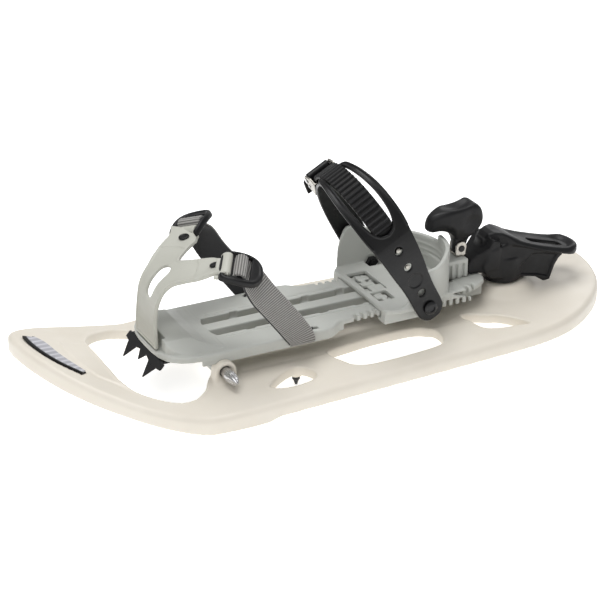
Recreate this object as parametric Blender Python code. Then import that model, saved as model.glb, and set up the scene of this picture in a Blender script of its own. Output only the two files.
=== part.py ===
"""One moulded snowshoe with a pivoting plate binding. +X is the toe, +Y the left side, +Z up."""

import math

import bmesh
import bpy
from mathutils import Vector
from mathutils.geometry import delaunay_2d_cdt

MM = 0.001
GAP = 0.3
CENTRE = (32.5, -3.5, 0.0)

# Deck, all in millimetres
DECK_OUTLINE = (
    (-324, -28), (-319, -4), (-308, 22), (-290, 46), (-264, 68), (-235, 84), (-200, 93),
    (-150, 97), (-75, 101), (0, 105), (60, 108), (110, 110), (150, 105), (184, 90), (212, 66),
    (235, 36), (250, 4), (258, -25), (259, -48), (250, -64), (228, -78), (195, -88), (160, -95),
    (120, -99), (60, -102), (0, -103), (-75, -100), (-150, -97), (-200, -94), (-250, -88),
    (-286, -79), (-311, -64), (-323, -46),
)
DECK_THICK = 4.5
DECK_RIM_TOP = 21.0
DECK_CROWN = 3.5
SKIRT_DEPTH = 13.0
SKIRT_FRONT_EXTRA = 3.0
SKIRT_STEP = (72.0, 84.0)
RIM_INSET = 4.5
RIM_DROP = 3.5
TOE_START = 135.0
TOE_LENGTH = 123.0
TOE_RISE = 34.0
TOE_POWER = 1.25
FRONT_OPENING = (
    (190, 36), (186, 52), (173, 67), (154, 76), (137, 73), (122, 62), (110, 44), (96, 42), (84, 38),
)
OVAL_HOLE = ((68, 79), (52, 66), (37, 59), (27, 63), (22, 76), (30, 84), (48, 87), (62, 85))
LONG_HOLE = (
    (-4, 46), (-30, 40), (-58, 37), (-90, 37), (-105, 42), (-112, 54), (-110, 68), (-102, 76),
    (-72, 80), (-40, 81), (-22, 79), (-11, 69),
)
TAIL_HOLE = (
    (-149, 34), (-165, 40), (-180, 51), (-191, 64), (-198, 75), (-184, 74), (-168, 71.5), (-155, 66),
    (-150, 50),
)
TAIL_BOSS = (-212.5, 0.0)
TAIL_BOSS_LEVELS = ((22.0, 34.0), (26.0, 30.0), (29.5, 24.5), (33.0, 20.5), (35.4, 19.5))

# Toe badge, plan outline
BADGE_FRONT = ((220, 27), (233, 8), (241, -10), (246, -30), (247, -45))
BADGE_REAR = ((235, -46), (229, -34), (224, -8), (214, 22))
BADGE_EDGE = 3.2

# Toe axle
AXLE_X = 99.0
AXLE_Z = 32.0
AXLE_RADIUS = 4.0
AXLE_SHOULDER = 57.0
AXLE_TIP = 79.0
AXLE_TIP_RADIUS = 5.2
AXLE_BOSS = (44.5, 56.0)
AXLE_BOSS_RADIUS = 10.0
BARREL_HALF = 43.5
BARREL_RADIUS = 8.0

# Spikes under the deck
SPIKES = {"front": (84.0, 81.0), "middle": (28.0, 48.0), "rear": (-222.0, 58.0)}
SPIKE_BOSS_RADIUS = 6.5
SPIKE_BOSS_LOW = 9.0
SPIKE_RADIUS = 3.6

# Binding plate
PLATE_LOW = 43.5
PLATE_TOP = 49.5
PAD_FRONT = 146.0
PLATE_OUTLINE = (
    (151.5, 18), (149.8, 28), (146, 37), (136, 45.5), (121, 50), (-3, 50), (-9, 48.5), (-18, 41.5), (-24, 40),
    (-140, 36), (-160, 33), (-171, 28), (-179, 23), (-181.5, 18),
)
LUG_HALF = 6.5
LUG_RADIUS = 5.4
SLOT_INNER = 6.5
SLOT_OUTER = 18.0
SLOT_FRONT = 94.0
SLOT_REAR = -150.0
STRAP_SLOT_X = (4.0, 36.0)
STRAP_SLOT_Y = (41.5, 45.8)
TAIL_PIN = (-174.0, 56.0)
RACK_STATIONS = (-124, -132, -140, -148, -156)

# Toe harness: side curve, plan outline of one half, arm ends
HARNESS_HALF_THICK = 1.6
HARNESS_SIDE = (
    (148.2, 49.8), (148.4, 60), (148.0, 72), (146.8, 84), (144.6, 94), (140.5, 102), (134, 108.5),
    (126, 113.5),
    (116.5, 117.6), (106, 120.3), (96, 122.6), (84, 125.4),
)
HARNESS_PLAN = (
    (160, 21.5), (141, 21.5), (133.5, 25.5), (128.7, 30), (118, 38.8), (106, 44.5), (100, 48), (92, 47),
    (87, 41),
    (86.8, 33), (88.5, 25.5), (92.5, 19.6), (98, 15.6), (105, 10.8), (111.5, 5.4), (116, 0.01),
)
HARNESS_ARM = ((98, 39.5, 123.0), (95.5, 43.5, 125.0), (93.6, 45.8, 126.6))
HARNESS_ARM_ACROSS = ((0.93, 0.25, -0.27), (0.7, 0.6, -0.35), (0.497, 0.798, -0.34))
RIVET_SPOT = (96.5, 33.4, 122.5)

# Toe buckles: middle of the bar, then the directions along the strap, along the bar and outwards
BUCKLE_AT = (82.4, 52.6, 126.2)
BUCKLE_AXES = ((-0.861, 0.407, -0.302), (0.497, 0.798, -0.340), (-0.103, 0.443, 0.890))
BUCKLE_OUTLINE = (
    (-12.6, 14.5), (-10, 18.4), (0, 19.2), (8, 18.2), (15, 14.5), (19.4, 7), (20.4, 0), (19.2, -7.5),
    (14.5, -13.2),
    (7, -15.6), (-2, -16), (-12.6, -15.0),
)
STRAP_PATH = (
    (72.4, 52.9, 113.8), (70.0, 53.2, 110.8), (61, 54.2, 97), (50, 55.0, 82.5), (38, 54.8, 66.5),
    (27, 54.4, 53), (23.5, 53.2, 46), (23, 51.2, 41.2), (22, 46.5, 40.7), (21.3, 43.9, 42.5), (21, 43.7, 48),
    (21, 43.2, 58),
)
STRAP_ACROSS = (
    (0.84, 0.13, -0.53), (0.86, 0.08, -0.50), (0.88, 0, -0.47), (0.90, 0, -0.43), (0.90, 0, -0.43),
    (0.90, 0, -0.43), (0.98, 0, -0.2), (1, 0, 0), (1, 0, 0), (1, 0, 0), (1, 0, 0), (1, 0, 0),
)

# Heel unit
FLOOR_LOW = 50.0
FLOOR_TOP = 54.0
FLOOR_FRONT = -59.0
CUP_X = -91.0
CUP_RADIUS = 55.0
CUP_WALL = 4.0
CUP_TOP = 91.0
STRAP_PIVOT = (-100.0, 53.0)
LEVER_PIN = (-164.0, 76.0)
LEVER_PROFILE = (
    (-128.6, 103), (-129.6, 98.8), (-134, 96.6), (-141, 96.2), (-148.5, 94.6), (-154.6, 90.5),
    (-157.6, 83), (-158.4, 76),
    (-160, 72.8), (-164, 71.6), (-168, 72.8), (-169.6, 76), (-171.5, 82.5), (-177, 89), (-182, 96),
    (-184.6, 104),
    (-183.2, 112.5), (-178.8, 118.4), (-173, 120.6), (-166, 118), (-157, 115.9), (-145, 114.9),
    (-135.5, 112.5), (-130.5, 108.5),
)

# Ankle strap loop
LEAN = math.radians(28.5)
LOOP_HALF = 59.0
LOOP_STRAIGHT = 45.0
LOOP_RISE = 83.0

# Ratchet buckle: place on the loop in degrees, then positions in its own frame
RATCHET = 133.0
LEVER_AXIS = (0.0, 14.5)
PAWL_PROFILE = (
    (-3, 8.1), (2, 8.1), (7, 8.2), (10.6, 9.3), (10.8, 11.6), (9, 12.6), (5, 12.3), (1.5, 10.6), (-3, 9.6),
)
HOOD_PROFILE = (
    (-3.3, 14.5), (-2.4, 12.2), (0, 11.2), (2.4, 12.2), (9, 15), (20, 17), (27, 21), (26, 23.5),
    (12, 22.5), (-2, 19.5),
    (-4, 16.5),
)

# Heel lift side profiles
LIFT_LOWER = (
    (-184, 58), (-187, 66), (-190, 72), (-208, 75), (-232, 70), (-250, 64), (-268, 58), (-270, 53),
    (-266, 50), (-262, 44),
    (-259.5, 37.5), (-256.8, 29.6), (-250, 29.2), (-245, 32.6), (-240.5, 35.5), (-232, 37.6),
    (-222, 40), (-200, 42),
    (-190, 44), (-185, 50),
)
LIFT_UPPER = (
    (-189, 70), (-189.5, 81.5), (-193, 85.5), (-200, 86.6), (-213, 82.4), (-222, 78), (-240, 71.6),
    (-260, 65.4), (-276, 61),
    (-291.5, 58), (-291.5, 52), (-282, 51), (-270, 54.6), (-250, 61), (-222, 71),
)
LIFT_PLAN = (
    (-185, 6), (-190, 8), (-196, 10), (-203, 13.4), (-211, 17.4), (-220, 20), (-236, 21.4),
    (-262, 21.6), (-276, 20.6),
    (-285, 16.4), (-290.5, 9), (-292, 3),
)
LIFT_NECK = (
    (-170, 50.6), (-169, 59.5), (-172.6, 64.2), (-180, 68.2), (-190, 72),
    (-195, 66), (-195, 52), (-182, 50.6),
)
LIFT_CUP_RADIUS = 18.3

COLOURS = {
    "deck": ((0.80, 0.77, 0.69), 0.45, 0.0),
    "black": ((0.015, 0.015, 0.016), 0.42, 0.0),
    "badge": ((0.42, 0.42, 0.46), 0.4, 0.0),
    "grey": ((0.46, 0.47, 0.46), 0.45, 0.0),
    "harness": ((0.37, 0.37, 0.34), 0.55, 0.0),
    "webbing": ((0.24, 0.24, 0.25), 0.9, 0.0),
    "steel": ((0.55, 0.55, 0.56), 0.28, 1.0),
    "darksteel": ((0.04, 0.04, 0.045), 0.35, 0.9),
    "nickel": ((0.62, 0.60, 0.56), 0.22, 1.0),
}


def clear_scene():
    for obj in list(bpy.data.objects):
        bpy.data.objects.remove(obj, do_unlink=True)


def material(key):
    found = bpy.data.materials.get(key)
    if found:
        return found
    colour, roughness, metallic = COLOURS[key]
    made = bpy.data.materials.new(key)
    made.use_nodes = True
    shader = made.node_tree.nodes["Principled BSDF"]
    shader.inputs["Base Color"].default_value = (*colour, 1.0)
    shader.inputs["Roughness"].default_value = roughness
    shader.inputs["Metallic"].default_value = metallic
    made.diffuse_color = (*colour, 1.0)
    return made


def add(name, shape, key, round_piece=False):
    """Makes an object from (points in mm, faces)."""
    points, faces = shape
    mesh = bpy.data.meshes.new(name)
    mesh.from_pydata([(Vector(p) + Vector(CENTRE)) * MM for p in points], [], faces)
    work = bmesh.new()
    work.from_mesh(mesh)
    bmesh.ops.remove_doubles(work, verts=work.verts, dist=1e-7)
    bmesh.ops.recalc_face_normals(work, faces=work.faces)
    work.to_mesh(mesh)
    work.free()
    mesh.materials.append(material(key))
    obj = bpy.data.objects.new(name, mesh)
    bpy.context.scene.collection.objects.link(obj)
    if round_piece:
        mesh.shade_smooth()
        mesh.set_sharp_from_angle(angle=math.radians(35))
    return obj


def combine(obj, others, operation):
    """Joins or cuts obj with other shapes by exact Booleans, one after another."""
    for index, shape in enumerate(others):
        helper = add("helper", shape, "grey")
        step = obj.modifiers.new("step%d" % index, "BOOLEAN")
        step.operation = operation
        step.solver = "EXACT"
        step.object = helper
        bpy.context.view_layer.update()
        graph = bpy.context.evaluated_depsgraph_get()
        result = bpy.data.meshes.new_from_object(obj.evaluated_get(graph))
        obj.modifiers.clear()
        keep = obj.data.materials[0]
        obj.data = result
        obj.data.materials.clear()
        obj.data.materials.append(keep)
        bpy.data.objects.remove(helper, do_unlink=True)
    return obj


def union(obj, *shapes):
    return combine(obj, shapes, "UNION")


def cut(obj, *shapes):
    return combine(obj, shapes, "DIFFERENCE")


def place(axis, u, v, w):
    """Point of a profile (u, v) at station w along an axis."""
    return {"x": (w, u, v), "y": (u, w, v), "z": (u, v, w)}[axis]


def both_sides(half):
    return list(half) + [(x, -y) for x, y in reversed(half)]


def prism(outline, axis, low, high):
    count = len(outline)
    points = [place(axis, u, v, low) for u, v in outline]
    points += [place(axis, u, v, high) for u, v in outline]
    faces = [tuple(range(count))[::-1], tuple(range(count, 2 * count))]
    for i in range(count):
        j = (i + 1) % count
        faces.append((i, j, count + j, count + i))
    return points, faces


def box(x0, x1, y0, y1, z0, z1):
    return prism(((x0, y0), (x1, y0), (x1, y1), (x0, y1)), "z", z0, z1)


def rod(axis, centre, radius, low, high, sides=20):
    ring = [
        (centre[0] + radius * math.cos(2 * math.pi * i / sides),
         centre[1] + radius * math.sin(2 * math.pi * i / sides))
        for i in range(sides)
    ]
    return prism(ring, axis, low, high)


def turned(axis, centre, profile, sides=20):
    """Solid of revolution from (station, radius) pairs; a radius of 0 closes an end to a point."""
    points = []
    faces = []
    rings = []
    for station, radius in profile:
        if radius == 0:
            rings.append([len(points)] * sides)
            points.append(place(axis, centre[0], centre[1], station))
            continue
        rings.append(list(range(len(points), len(points) + sides)))
        for i in range(sides):
            angle = 2 * math.pi * i / sides
            u = centre[0] + radius * math.cos(angle)
            v = centre[1] + radius * math.sin(angle)
            points.append(place(axis, u, v, station))
    for first, second in zip(rings, rings[1:]):
        for i in range(sides):
            j = (i + 1) % sides
            corners = []
            for index in (first[i], first[j], second[j], second[i]):
                if index not in corners:
                    corners.append(index)
            if len(corners) > 2:
                faces.append(tuple(corners))
    for ring in (rings[0], rings[-1]):
        if ring[0] != ring[1]:
            faces.append(tuple(ring))
    return points, faces


def band(path, across, width, thick):
    """Flat strap along path; across gives the width direction at each station."""
    points = []
    faces = []
    count = len(path)
    for i, station in enumerate(path):
        here = Vector(station)
        before = Vector(path[max(i - 1, 0)])
        after = Vector(path[min(i + 1, count - 1)])
        side = Vector(across[i] if isinstance(across, list) else across).normalized()
        wide = width[i] if isinstance(width, list) else width
        normal = (after - before).normalized().cross(side).normalized()
        for s, t in ((-1, -1), (1, -1), (1, 1), (-1, 1)):
            points.append(tuple(here + side * (s * wide / 2) + normal * (t * thick / 2)))
    for i in range(count - 1):
        a = 4 * i
        for k in range(4):
            m = (k + 1) % 4
            faces.append((a + k, a + m, a + 4 + m, a + 4 + k))
    faces.append((3, 2, 1, 0))
    last = 4 * (count - 1)
    faces.append((last, last + 1, last + 2, last + 3))
    return points, faces


def oriented(shape, origin, direction):
    """Shape turned so that its +Z lies along direction, with its zero at origin."""
    turn = Vector((0, 0, 1)).rotation_difference(Vector(direction).normalized())
    points, faces = shape
    return [tuple(turn @ Vector(p) + Vector(origin)) for p in points], faces


def rounded_loop(control, per_span):
    """Closed smooth curve through the control points."""
    out = []
    count = len(control)
    for i in range(count):
        p0, p1, p2, p3 = (control[(i + k - 1) % count] for k in range(4))
        for j in range(per_span):
            t = j / per_span
            out.append(tuple(
                0.5 * (2 * b + (c - a) * t + (2 * a - 5 * b + 4 * c - d) * t * t
                       + (3 * b - a - 3 * c + d) * t ** 3)
                for a, b, c, d in zip(p0, p1, p2, p3)
            ))
    return out


def inset_loop(loop, distance):
    """Loop (anticlockwise) moved inwards."""
    out = []
    count = len(loop)
    for i in range(count):
        ax, ay = loop[i - 1]
        bx, by = loop[(i + 1) % count]
        dx, dy = bx - ax, by - ay
        length = math.hypot(dx, dy)
        x, y = loop[i]
        out.append((x - dy / length * distance, y + dx / length * distance))
    return out


def inside(point, loop):
    x, y = point
    found = False
    for i in range(len(loop)):
        (ax, ay), (bx, by) = loop[i - 1], loop[i]
        if (ay > y) != (by > y) and x < (bx - ax) * (y - ay) / (by - ay) + ax:
            found = not found
    return found


def deck_top(x, y):
    toe = max(0.0, (x - TOE_START) / TOE_LENGTH)
    crown = DECK_CROWN * max(0.0, 1 - (y / 100.0) ** 2)
    return DECK_RIM_TOP + crown + TOE_RISE * toe ** TOE_POWER


def skirt_low(x):
    toe = max(0.0, (x - TOE_START) / TOE_LENGTH)
    step = min(1.0, max(0.0, (x - SKIRT_STEP[0]) / (SKIRT_STEP[1] - SKIRT_STEP[0])))
    step *= max(0.0, 1 - toe / 0.5)
    return DECK_RIM_TOP + TOE_RISE * toe ** TOE_POWER - SKIRT_DEPTH - SKIRT_FRONT_EXTRA * step


def deck_shape():
    outline = rounded_loop(tuple(reversed(DECK_OUTLINE)), 2)
    rim = inset_loop(outline, RIM_INSET)
    opening = [tuple(p) for p in FRONT_OPENING]
    opening = opening + [(x, -y) for x, y in reversed(opening)]
    holes = [opening]
    for control in (OVAL_HOLE, LONG_HOLE, TAIL_HOLE):
        loop = rounded_loop(control, 2)
        holes.append(loop)
        holes.append([(x, -y) for x, y in loop])
    flat = list(rim)
    spans = [(0, len(rim))]
    for loop in holes:
        spans.append((len(flat), len(flat) + len(loop)))
        flat += loop
    edges = []
    for low, high in spans:
        edges += [(i, i + 1 if i + 1 < high else low) for i in range(low, high)]
    step = 36.0
    clearance = 9.0
    x = -300.0
    while x < 260.0:
        y = -90.0
        while y < 100.0:
            near = min(math.hypot(x - a, y - b) for a, b in flat[:spans[-1][1]])
            if inside((x, y), rim) and near > clearance and not any(inside((x, y), h) for h in holes):
                flat.append((x, y))
            y += step
        x += step
    found = delaunay_2d_cdt([Vector(p) for p in flat], edges, [], 0, 1e-6)
    plan = [tuple(p) for p in found[0]]
    triangles = []
    for face in found[2]:
        cx = sum(plan[i][0] for i in face) / 3
        cy = sum(plan[i][1] for i in face) / 3
        if inside((cx, cy), rim) and not any(inside((cx, cy), h) for h in holes):
            triangles.append(tuple(face))
    count = len(plan)
    points = [(x, y, deck_top(x, y)) for x, y in plan]
    points += [(x, y, deck_top(x, y) - DECK_THICK) for x, y in plan]
    faces = list(triangles)
    faces += [tuple(count + i for i in reversed(t)) for t in triangles]
    for low, high in spans[1:]:
        for i in range(low, high):
            j = i + 1 if i + 1 < high else low
            faces.append((i, j, count + j, count + i))
    rows = [list(range(len(rim)))]
    for loop, height in (
        (outline, lambda px, py: deck_top(px, py) - RIM_DROP),
        (outline, lambda px, py: skirt_low(px)),
        (rim, lambda px, py: skirt_low(px)),
    ):
        rows.append(list(range(len(points), len(points) + len(loop))))
        points += [(px, py, height(px, py)) for px, py in loop]
    rows.append([count + i for i in range(len(rim))])
    for upper, lower in zip(rows, rows[1:]):
        for i in range(len(rim)):
            j = (i + 1) % len(rim)
            faces.append((upper[i], upper[j], lower[j], lower[i]))
    return points, faces


def badge_plane(x):
    """Straight line that follows the rise of the toe."""
    low, high = 215.0, 250.0
    slope = (deck_top(high, 0) - deck_top(low, 0)) / (high - low)
    return deck_top(low, 0) + slope * (x - low)


def slab(outline, low, high):
    """Prism whose two ends follow the toe slope, offset by low and high."""
    count = len(outline)
    points = [(x, y, badge_plane(x) + low) for x, y in outline]
    points += [(x, y, badge_plane(x) + high) for x, y in outline]
    faces = [tuple(range(count))[::-1], tuple(range(count, 2 * count))]
    for i in range(count):
        j = (i + 1) % count
        faces.append((i, j, count + j, count + i))
    return points, faces


def shifted(points, amount):
    return [(x + amount, y) for x, y in points]


def badge_recess():
    """Badge outline opened by a small clearance, more at its two narrow ends."""
    front = shifted(BADGE_FRONT, 0.6)
    rear = shifted(BADGE_REAR, -0.6)
    front[0] = (front[0][0] + 0.3, front[0][1] + 1.5)
    rear[-1] = (rear[-1][0] - 0.8, rear[-1][1] + 1.5)
    front[-1] = (front[-1][0] + 0.2, front[-1][1] - 1.2)
    rear[0] = (rear[0][0] - 0.2, rear[0][1] - 1.2)
    return [(front[0][0] - 5.0, front[0][1])] + front + rear


def build_deck():
    deck = add("deck", deck_shape(), "deck")
    joins = []
    for side in (1, -1):
        low, high = sorted((side * AXLE_BOSS[0], side * AXLE_BOSS[1]))
        profile = []
        for i in range(13):
            angle = math.pi * i / 12
            along = AXLE_X + AXLE_BOSS_RADIUS * math.cos(angle)
            profile.append((along, AXLE_Z + AXLE_BOSS_RADIUS * math.sin(angle)))
        profile += [(AXLE_X - AXLE_BOSS_RADIUS - 3, 20.5), (AXLE_X + AXLE_BOSS_RADIUS - 2, 20.5)]
        joins.append(prism(profile, "y", low, high))
        for x, y in SPIKES.values():
            top = deck_top(x, y) - 2.0
            post = ((SPIKE_BOSS_LOW, SPIKE_BOSS_RADIUS - 1.5), (top, SPIKE_BOSS_RADIUS))
            joins.append(turned("z", (x, side * y), post, 14))
    joins.append(turned("z", TAIL_BOSS, TAIL_BOSS_LEVELS, 28))
    union(deck, *joins)
    cuts = [rod("y", (AXLE_X, AXLE_Z), AXLE_RADIUS + GAP, -70, 70, 16)]
    cuts.append(slab(badge_recess(), -1.6, 12.0))
    for side in (1, -1):
        for x, y in SPIKES.values():
            cuts.append(rod("z", (x, side * y), 2.3, 4.0, 15.0, 12))
    cut(deck, *cuts)
    return deck


def build_badge():
    front = list(BADGE_FRONT)
    rear = list(BADGE_REAR)
    frame = add("toe_badge_frame", slab(front + rear, -1.2, -0.2), "black")
    edge = front + list(reversed(shifted(front, -BADGE_EDGE)))
    union(frame, slab(edge, -0.9, 1.2))
    insert = shifted(front, -BADGE_EDGE - GAP) + rear
    add("toe_badge_insert", slab(insert, 0.1, 1.2), "badge")


def build_spikes():
    for place_name, (x, y) in SPIKES.items():
        for side_name, side in (("left", 1), ("right", -1)):
            profile = (
                (0.0, 1.2), (5.0, 2.7), (6.5, SPIKE_RADIUS), (8.7, SPIKE_RADIUS), (8.7, 1.9), (14.5, 1.9),
            )
            name = "spike_%s_%s" % (place_name, side_name)
            add(name, turned("z", (x, side * y), profile, 12), "darksteel", True)


def build_axle():
    ends = (AXLE_SHOULDER, AXLE_TIP)
    half = (
        (ends[0] - 0.4, AXLE_RADIUS), (ends[0], AXLE_TIP_RADIUS), (ends[0] + 11, AXLE_TIP_RADIUS),
        (ends[0] + 17, AXLE_TIP_RADIUS * 0.8), (ends[0] + 21, AXLE_TIP_RADIUS * 0.45), (ends[1], 0.8),
    )
    profile = [(-s, r) for s, r in reversed(half)] + list(half)
    add("toe_axle", turned("y", (AXLE_X, AXLE_Z), profile, 16), "steel", True)


def build_plate():
    plate = add("binding_plate", prism(both_sides(PLATE_OUTLINE), "z", PLATE_LOW, PLATE_TOP), "grey")
    toe_side = ((104, 47), (104, 49.8), (118, 54), (134, 60), (145, 60.5), (PAD_FRONT, 47))
    front = prism(toe_side, "y", -44, 44)
    union(plate, front, box(150.4, 151.4, -17.5, 17.5, 48.0, 52.5))
    barrel = rod("y", (AXLE_X, AXLE_Z), BARREL_RADIUS, -BARREL_HALF, BARREL_HALF, 20)
    web_side = ((AXLE_X - 7, AXLE_Z), (AXLE_X + 7, AXLE_Z), (AXLE_X + 14, 46), (AXLE_X - 14, 46))
    web = prism(web_side, "y", -36, 36)
    tail = box(-181.4, -158, -17, 17, 28.0, 48.8)
    x, z = TAIL_PIN
    lug_side = ((x - LUG_RADIUS, z), (x - 6, 48), (x + 5.6, 48), (x + LUG_RADIUS, z))
    lug = prism(lug_side, "y", -LUG_HALF, LUG_HALF)
    union(plate, barrel, web, tail, lug, rod("y", TAIL_PIN, LUG_RADIUS, -LUG_HALF, LUG_HALF, 20))
    cuts = [rod("y", (AXLE_X, AXLE_Z), AXLE_RADIUS + GAP, -60, 60, 16)]
    cuts.append(rod("y", TAIL_PIN, 2.8, -25, 25, 12))
    for low, high in ((LUG_HALF, 12.6), (-12.6, -LUG_HALF)):
        cuts.append(rod("y", TAIL_PIN, 7.4, low, high, 20))
    for side in (1, -1):
        low, high = sorted((side * SLOT_INNER, side * SLOT_OUTER))
        cuts.append(box(SLOT_REAR, SLOT_FRONT, low, high, 40, 52))
        low, high = sorted((side * STRAP_SLOT_Y[0], side * STRAP_SLOT_Y[1]))
        cuts.append(box(STRAP_SLOT_X[0], STRAP_SLOT_X[1], low, high, 40, 55))
        low, high = sorted((side * 25.0, side * 50.0))
        corner = ((136, side * 25.0), (160, side * 25.0), (160, side * 50.0), (112, side * 50.0))
        cuts.append(prism(corner, "z", 50, 70))
        for x in RACK_STATIONS:
            low, high = sorted((side * 31.0, side * 45.0))
            cuts.append(box(x - 2, x + 2, low, high, 40, 55))
    cut(plate, *cuts)
    return plate


def build_crampon():
    front = 148.0
    teeth = [
        (-38, 42.4), (-38, 38), (-30, 37), (-22, 27), (-14, 38), (-7, 39), (0, 33), (7, 39), (14, 38),
        (22, 27), (30, 37), (38, 38), (38, 42.4),
    ]
    crampon = add("toe_crampon", box(112, front + 1.6, -34, 34, 40.8, 43.1), "darksteel")
    shape = prism([(y, z) for y, z in teeth], "x", front, front + 2.2)
    points = []
    for x, y, z in shape[0]:
        points.append((x + (42.4 - z) * 0.9, y, z))
    union(crampon, (points, shape[1]))
    for side in (1, -1):
        cut(crampon, rod("z", (126, side * 24), 3.4, 30, 50, 12))
        name = "crampon_rivet_" + ("left" if side > 0 else "right")
        profile = ((38.6, 4.6), (40.5, 5.2), (40.5, 3.0), (43.1, 3.0))
        add(name, turned("z", (126, side * 24), profile, 14), "steel", True)
    return crampon


def thick_line(path, half):
    """Closed outline of a line given a thickness."""
    upper = []
    lower = []
    for i, (u, v) in enumerate(path):
        before = path[max(i - 1, 0)]
        after = path[min(i + 1, len(path) - 1)]
        du, dv = after[0] - before[0], after[1] - before[1]
        length = math.hypot(du, dv)
        upper.append((u - dv / length * half, v + du / length * half))
        lower.append((u + dv / length * half, v - du / length * half))
    return upper + lower[::-1]


def framed(shape, origin, axes, side):
    """Shape moved into a frame given by three axes; side -1 mirrors it across the middle plane."""
    points, faces = shape
    moved = []
    for point in points:
        x, y, z = Vector(origin) + sum((Vector(a) * c for a, c in zip(axes, point)), Vector())
        moved.append((x, side * y, z))
    return moved, faces


def build_harness():
    harness = add("toe_harness", prism(thick_line(HARNESS_SIDE, HARNESS_HALF_THICK), "y", -60, 60), "harness")
    combine(harness, [prism(both_sides(HARNESS_PLAN), "z", 40, 140)], "INTERSECT")
    hole = ((131, -6), (131, 6), (136, 7.5), (143, 7), (147, 4), (147, -4), (143, -7), (136, -7.5))
    cut(harness, prism(hole, "z", 95, 125))
    for side in (1, -1):
        path = [(x, side * y, z) for x, y, z in HARNESS_ARM]
        across = [(x, side * y, z) for x, y, z in HARNESS_ARM_ACROSS]
        union(harness, band(path, across, [20, 21, 23], 2 * HARNESS_HALF_THICK))
    for name, side in (("left", 1), ("right", -1)):
        origin = (RIVET_SPOT[0], side * RIVET_SPOT[1], RIVET_SPOT[2])
        direction = (0.25, side * 0.08, 0.96)
        cut(harness, oriented(rod("z", (0, 0), 2.6, -12, 12, 14), origin, direction))
        rivet = ((-3.4, 3.0), (-2.3, 4.2), (-2.3, 2.2), (2.3, 2.2), (2.3, 4.6), (3.4, 3.4))
        solid = oriented(turned("z", (0, 0), rivet, 14), origin, direction)
        add("harness_rivet_" + name, solid, "nickel", True)
    return harness


def build_buckles():
    """Buckle frames, with the webbing windows cut through; u runs along the strap and v along the bar."""
    for name, side in (("left", 1), ("right", -1)):
        outer = framed(prism(BUCKLE_OUTLINE, "z", -2.6, 2.6), BUCKLE_AT, BUCKLE_AXES, side)
        frame = add("toe_buckle_" + name, outer, "black")
        windows = [box(-11.2, -4.6, -12.9, 12.9, -9, 9), box(3.2, 9.0, -12.9, 12.9, -9, 9)]
        cut(frame, *(framed(shape, BUCKLE_AT, BUCKLE_AXES, side) for shape in windows))


def build_straps():
    for name, side in (("left", 1), ("right", -1)):
        path = [(x, side * y, z) for x, y, z in STRAP_PATH]
        across = [(x, side * y, z) for x, y, z in STRAP_ACROSS]
        add("toe_strap_" + name, band(path, across, 25.0, 2.4), "webbing")


def cup_outline(front, radius):
    """Half outline of the cup: a straight side, then a quarter turn round the heel, mirrored."""
    half = list(front) + [(CUP_X, radius)]
    for i in range(1, 12):
        angle = math.radians(90 + 90 * i / 12)
        half.append((CUP_X + radius * math.cos(angle), radius * math.sin(angle)))
    return half + [(CUP_X - radius, 0)] + [(x, -y) for x, y in reversed(half)]


def build_heel_unit():
    outline = cup_outline([(FLOOR_FRONT, 50), (-66, 55.5)], CUP_RADIUS)
    unit = add("heel_cup", prism(outline, "z", FLOOR_LOW, CUP_TOP), "grey")
    cut(unit, prism(cup_outline([(-40, 51.5)], CUP_RADIUS - CUP_WALL), "z", FLOOR_TOP, 120))
    near_sweep = (
        (-50, FLOOR_TOP), (-50, 110), (-112, 110), (-112, 85), (-97, 83.5), (-86, 72), (-83, 60),
        (-74, FLOOR_TOP),
    )
    cut(unit, prism(near_sweep, "y", 40, 70))
    far_sweep = ((-50, FLOOR_TOP + 0.1), (-50, 110), (-90, 110), (-86, 72), (-74, FLOOR_TOP + 0.1))
    cut(unit, prism(far_sweep, "y", -70, -40))
    ear_side = ((-64, 52), (-64, 71), (-68, 82.5), (-75, 93), (-84, 92), (-92, 70), (-84, 52))
    ear = prism(ear_side, "y", -55.4, -51.4)
    low_ear = prism(((-64, 52), (-66, 62), (-80, 64), (-84, 52)), "y", 51.4, 55.4)
    union(unit, ear, low_ear)
    joins = []
    for side in (1, -1):
        low, high = sorted((side * 41.2, side * 50.0))
        joins.append(box(-138, FLOOR_FRONT - 2, low, high, 38.0, 51.0))
        low, high = sorted((side * 35.0, side * 50.0))
        joins.append(box(-138, FLOOR_FRONT - 2, low, high, 38.0, 42.6))
    joins.append(box(-168, -144, -11, 11, FLOOR_LOW, 69))
    union(unit, *joins)
    cuts = [box(-80, -63, -33, 33, 40, 60), box(-157, -70, -7.5, 7.5, 45, 56.4)]
    cuts.append(box(-168.5, -152, -6.5, 6.5, 45, 56.4))
    cuts.append(rod("z", (LEVER_PIN[0], 0), 3.4, 45, 80, 14))
    for side in (1, -1):
        cuts.append(rod("y", STRAP_PIVOT, 3.3, *sorted((side * 45, side * 70)), 14))
        cuts.append(rod("y", STRAP_PIVOT, 6.8, *sorted((side * 40.5, side * 51.0)), 20))
    cut(unit, *cuts)
    return unit


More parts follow.
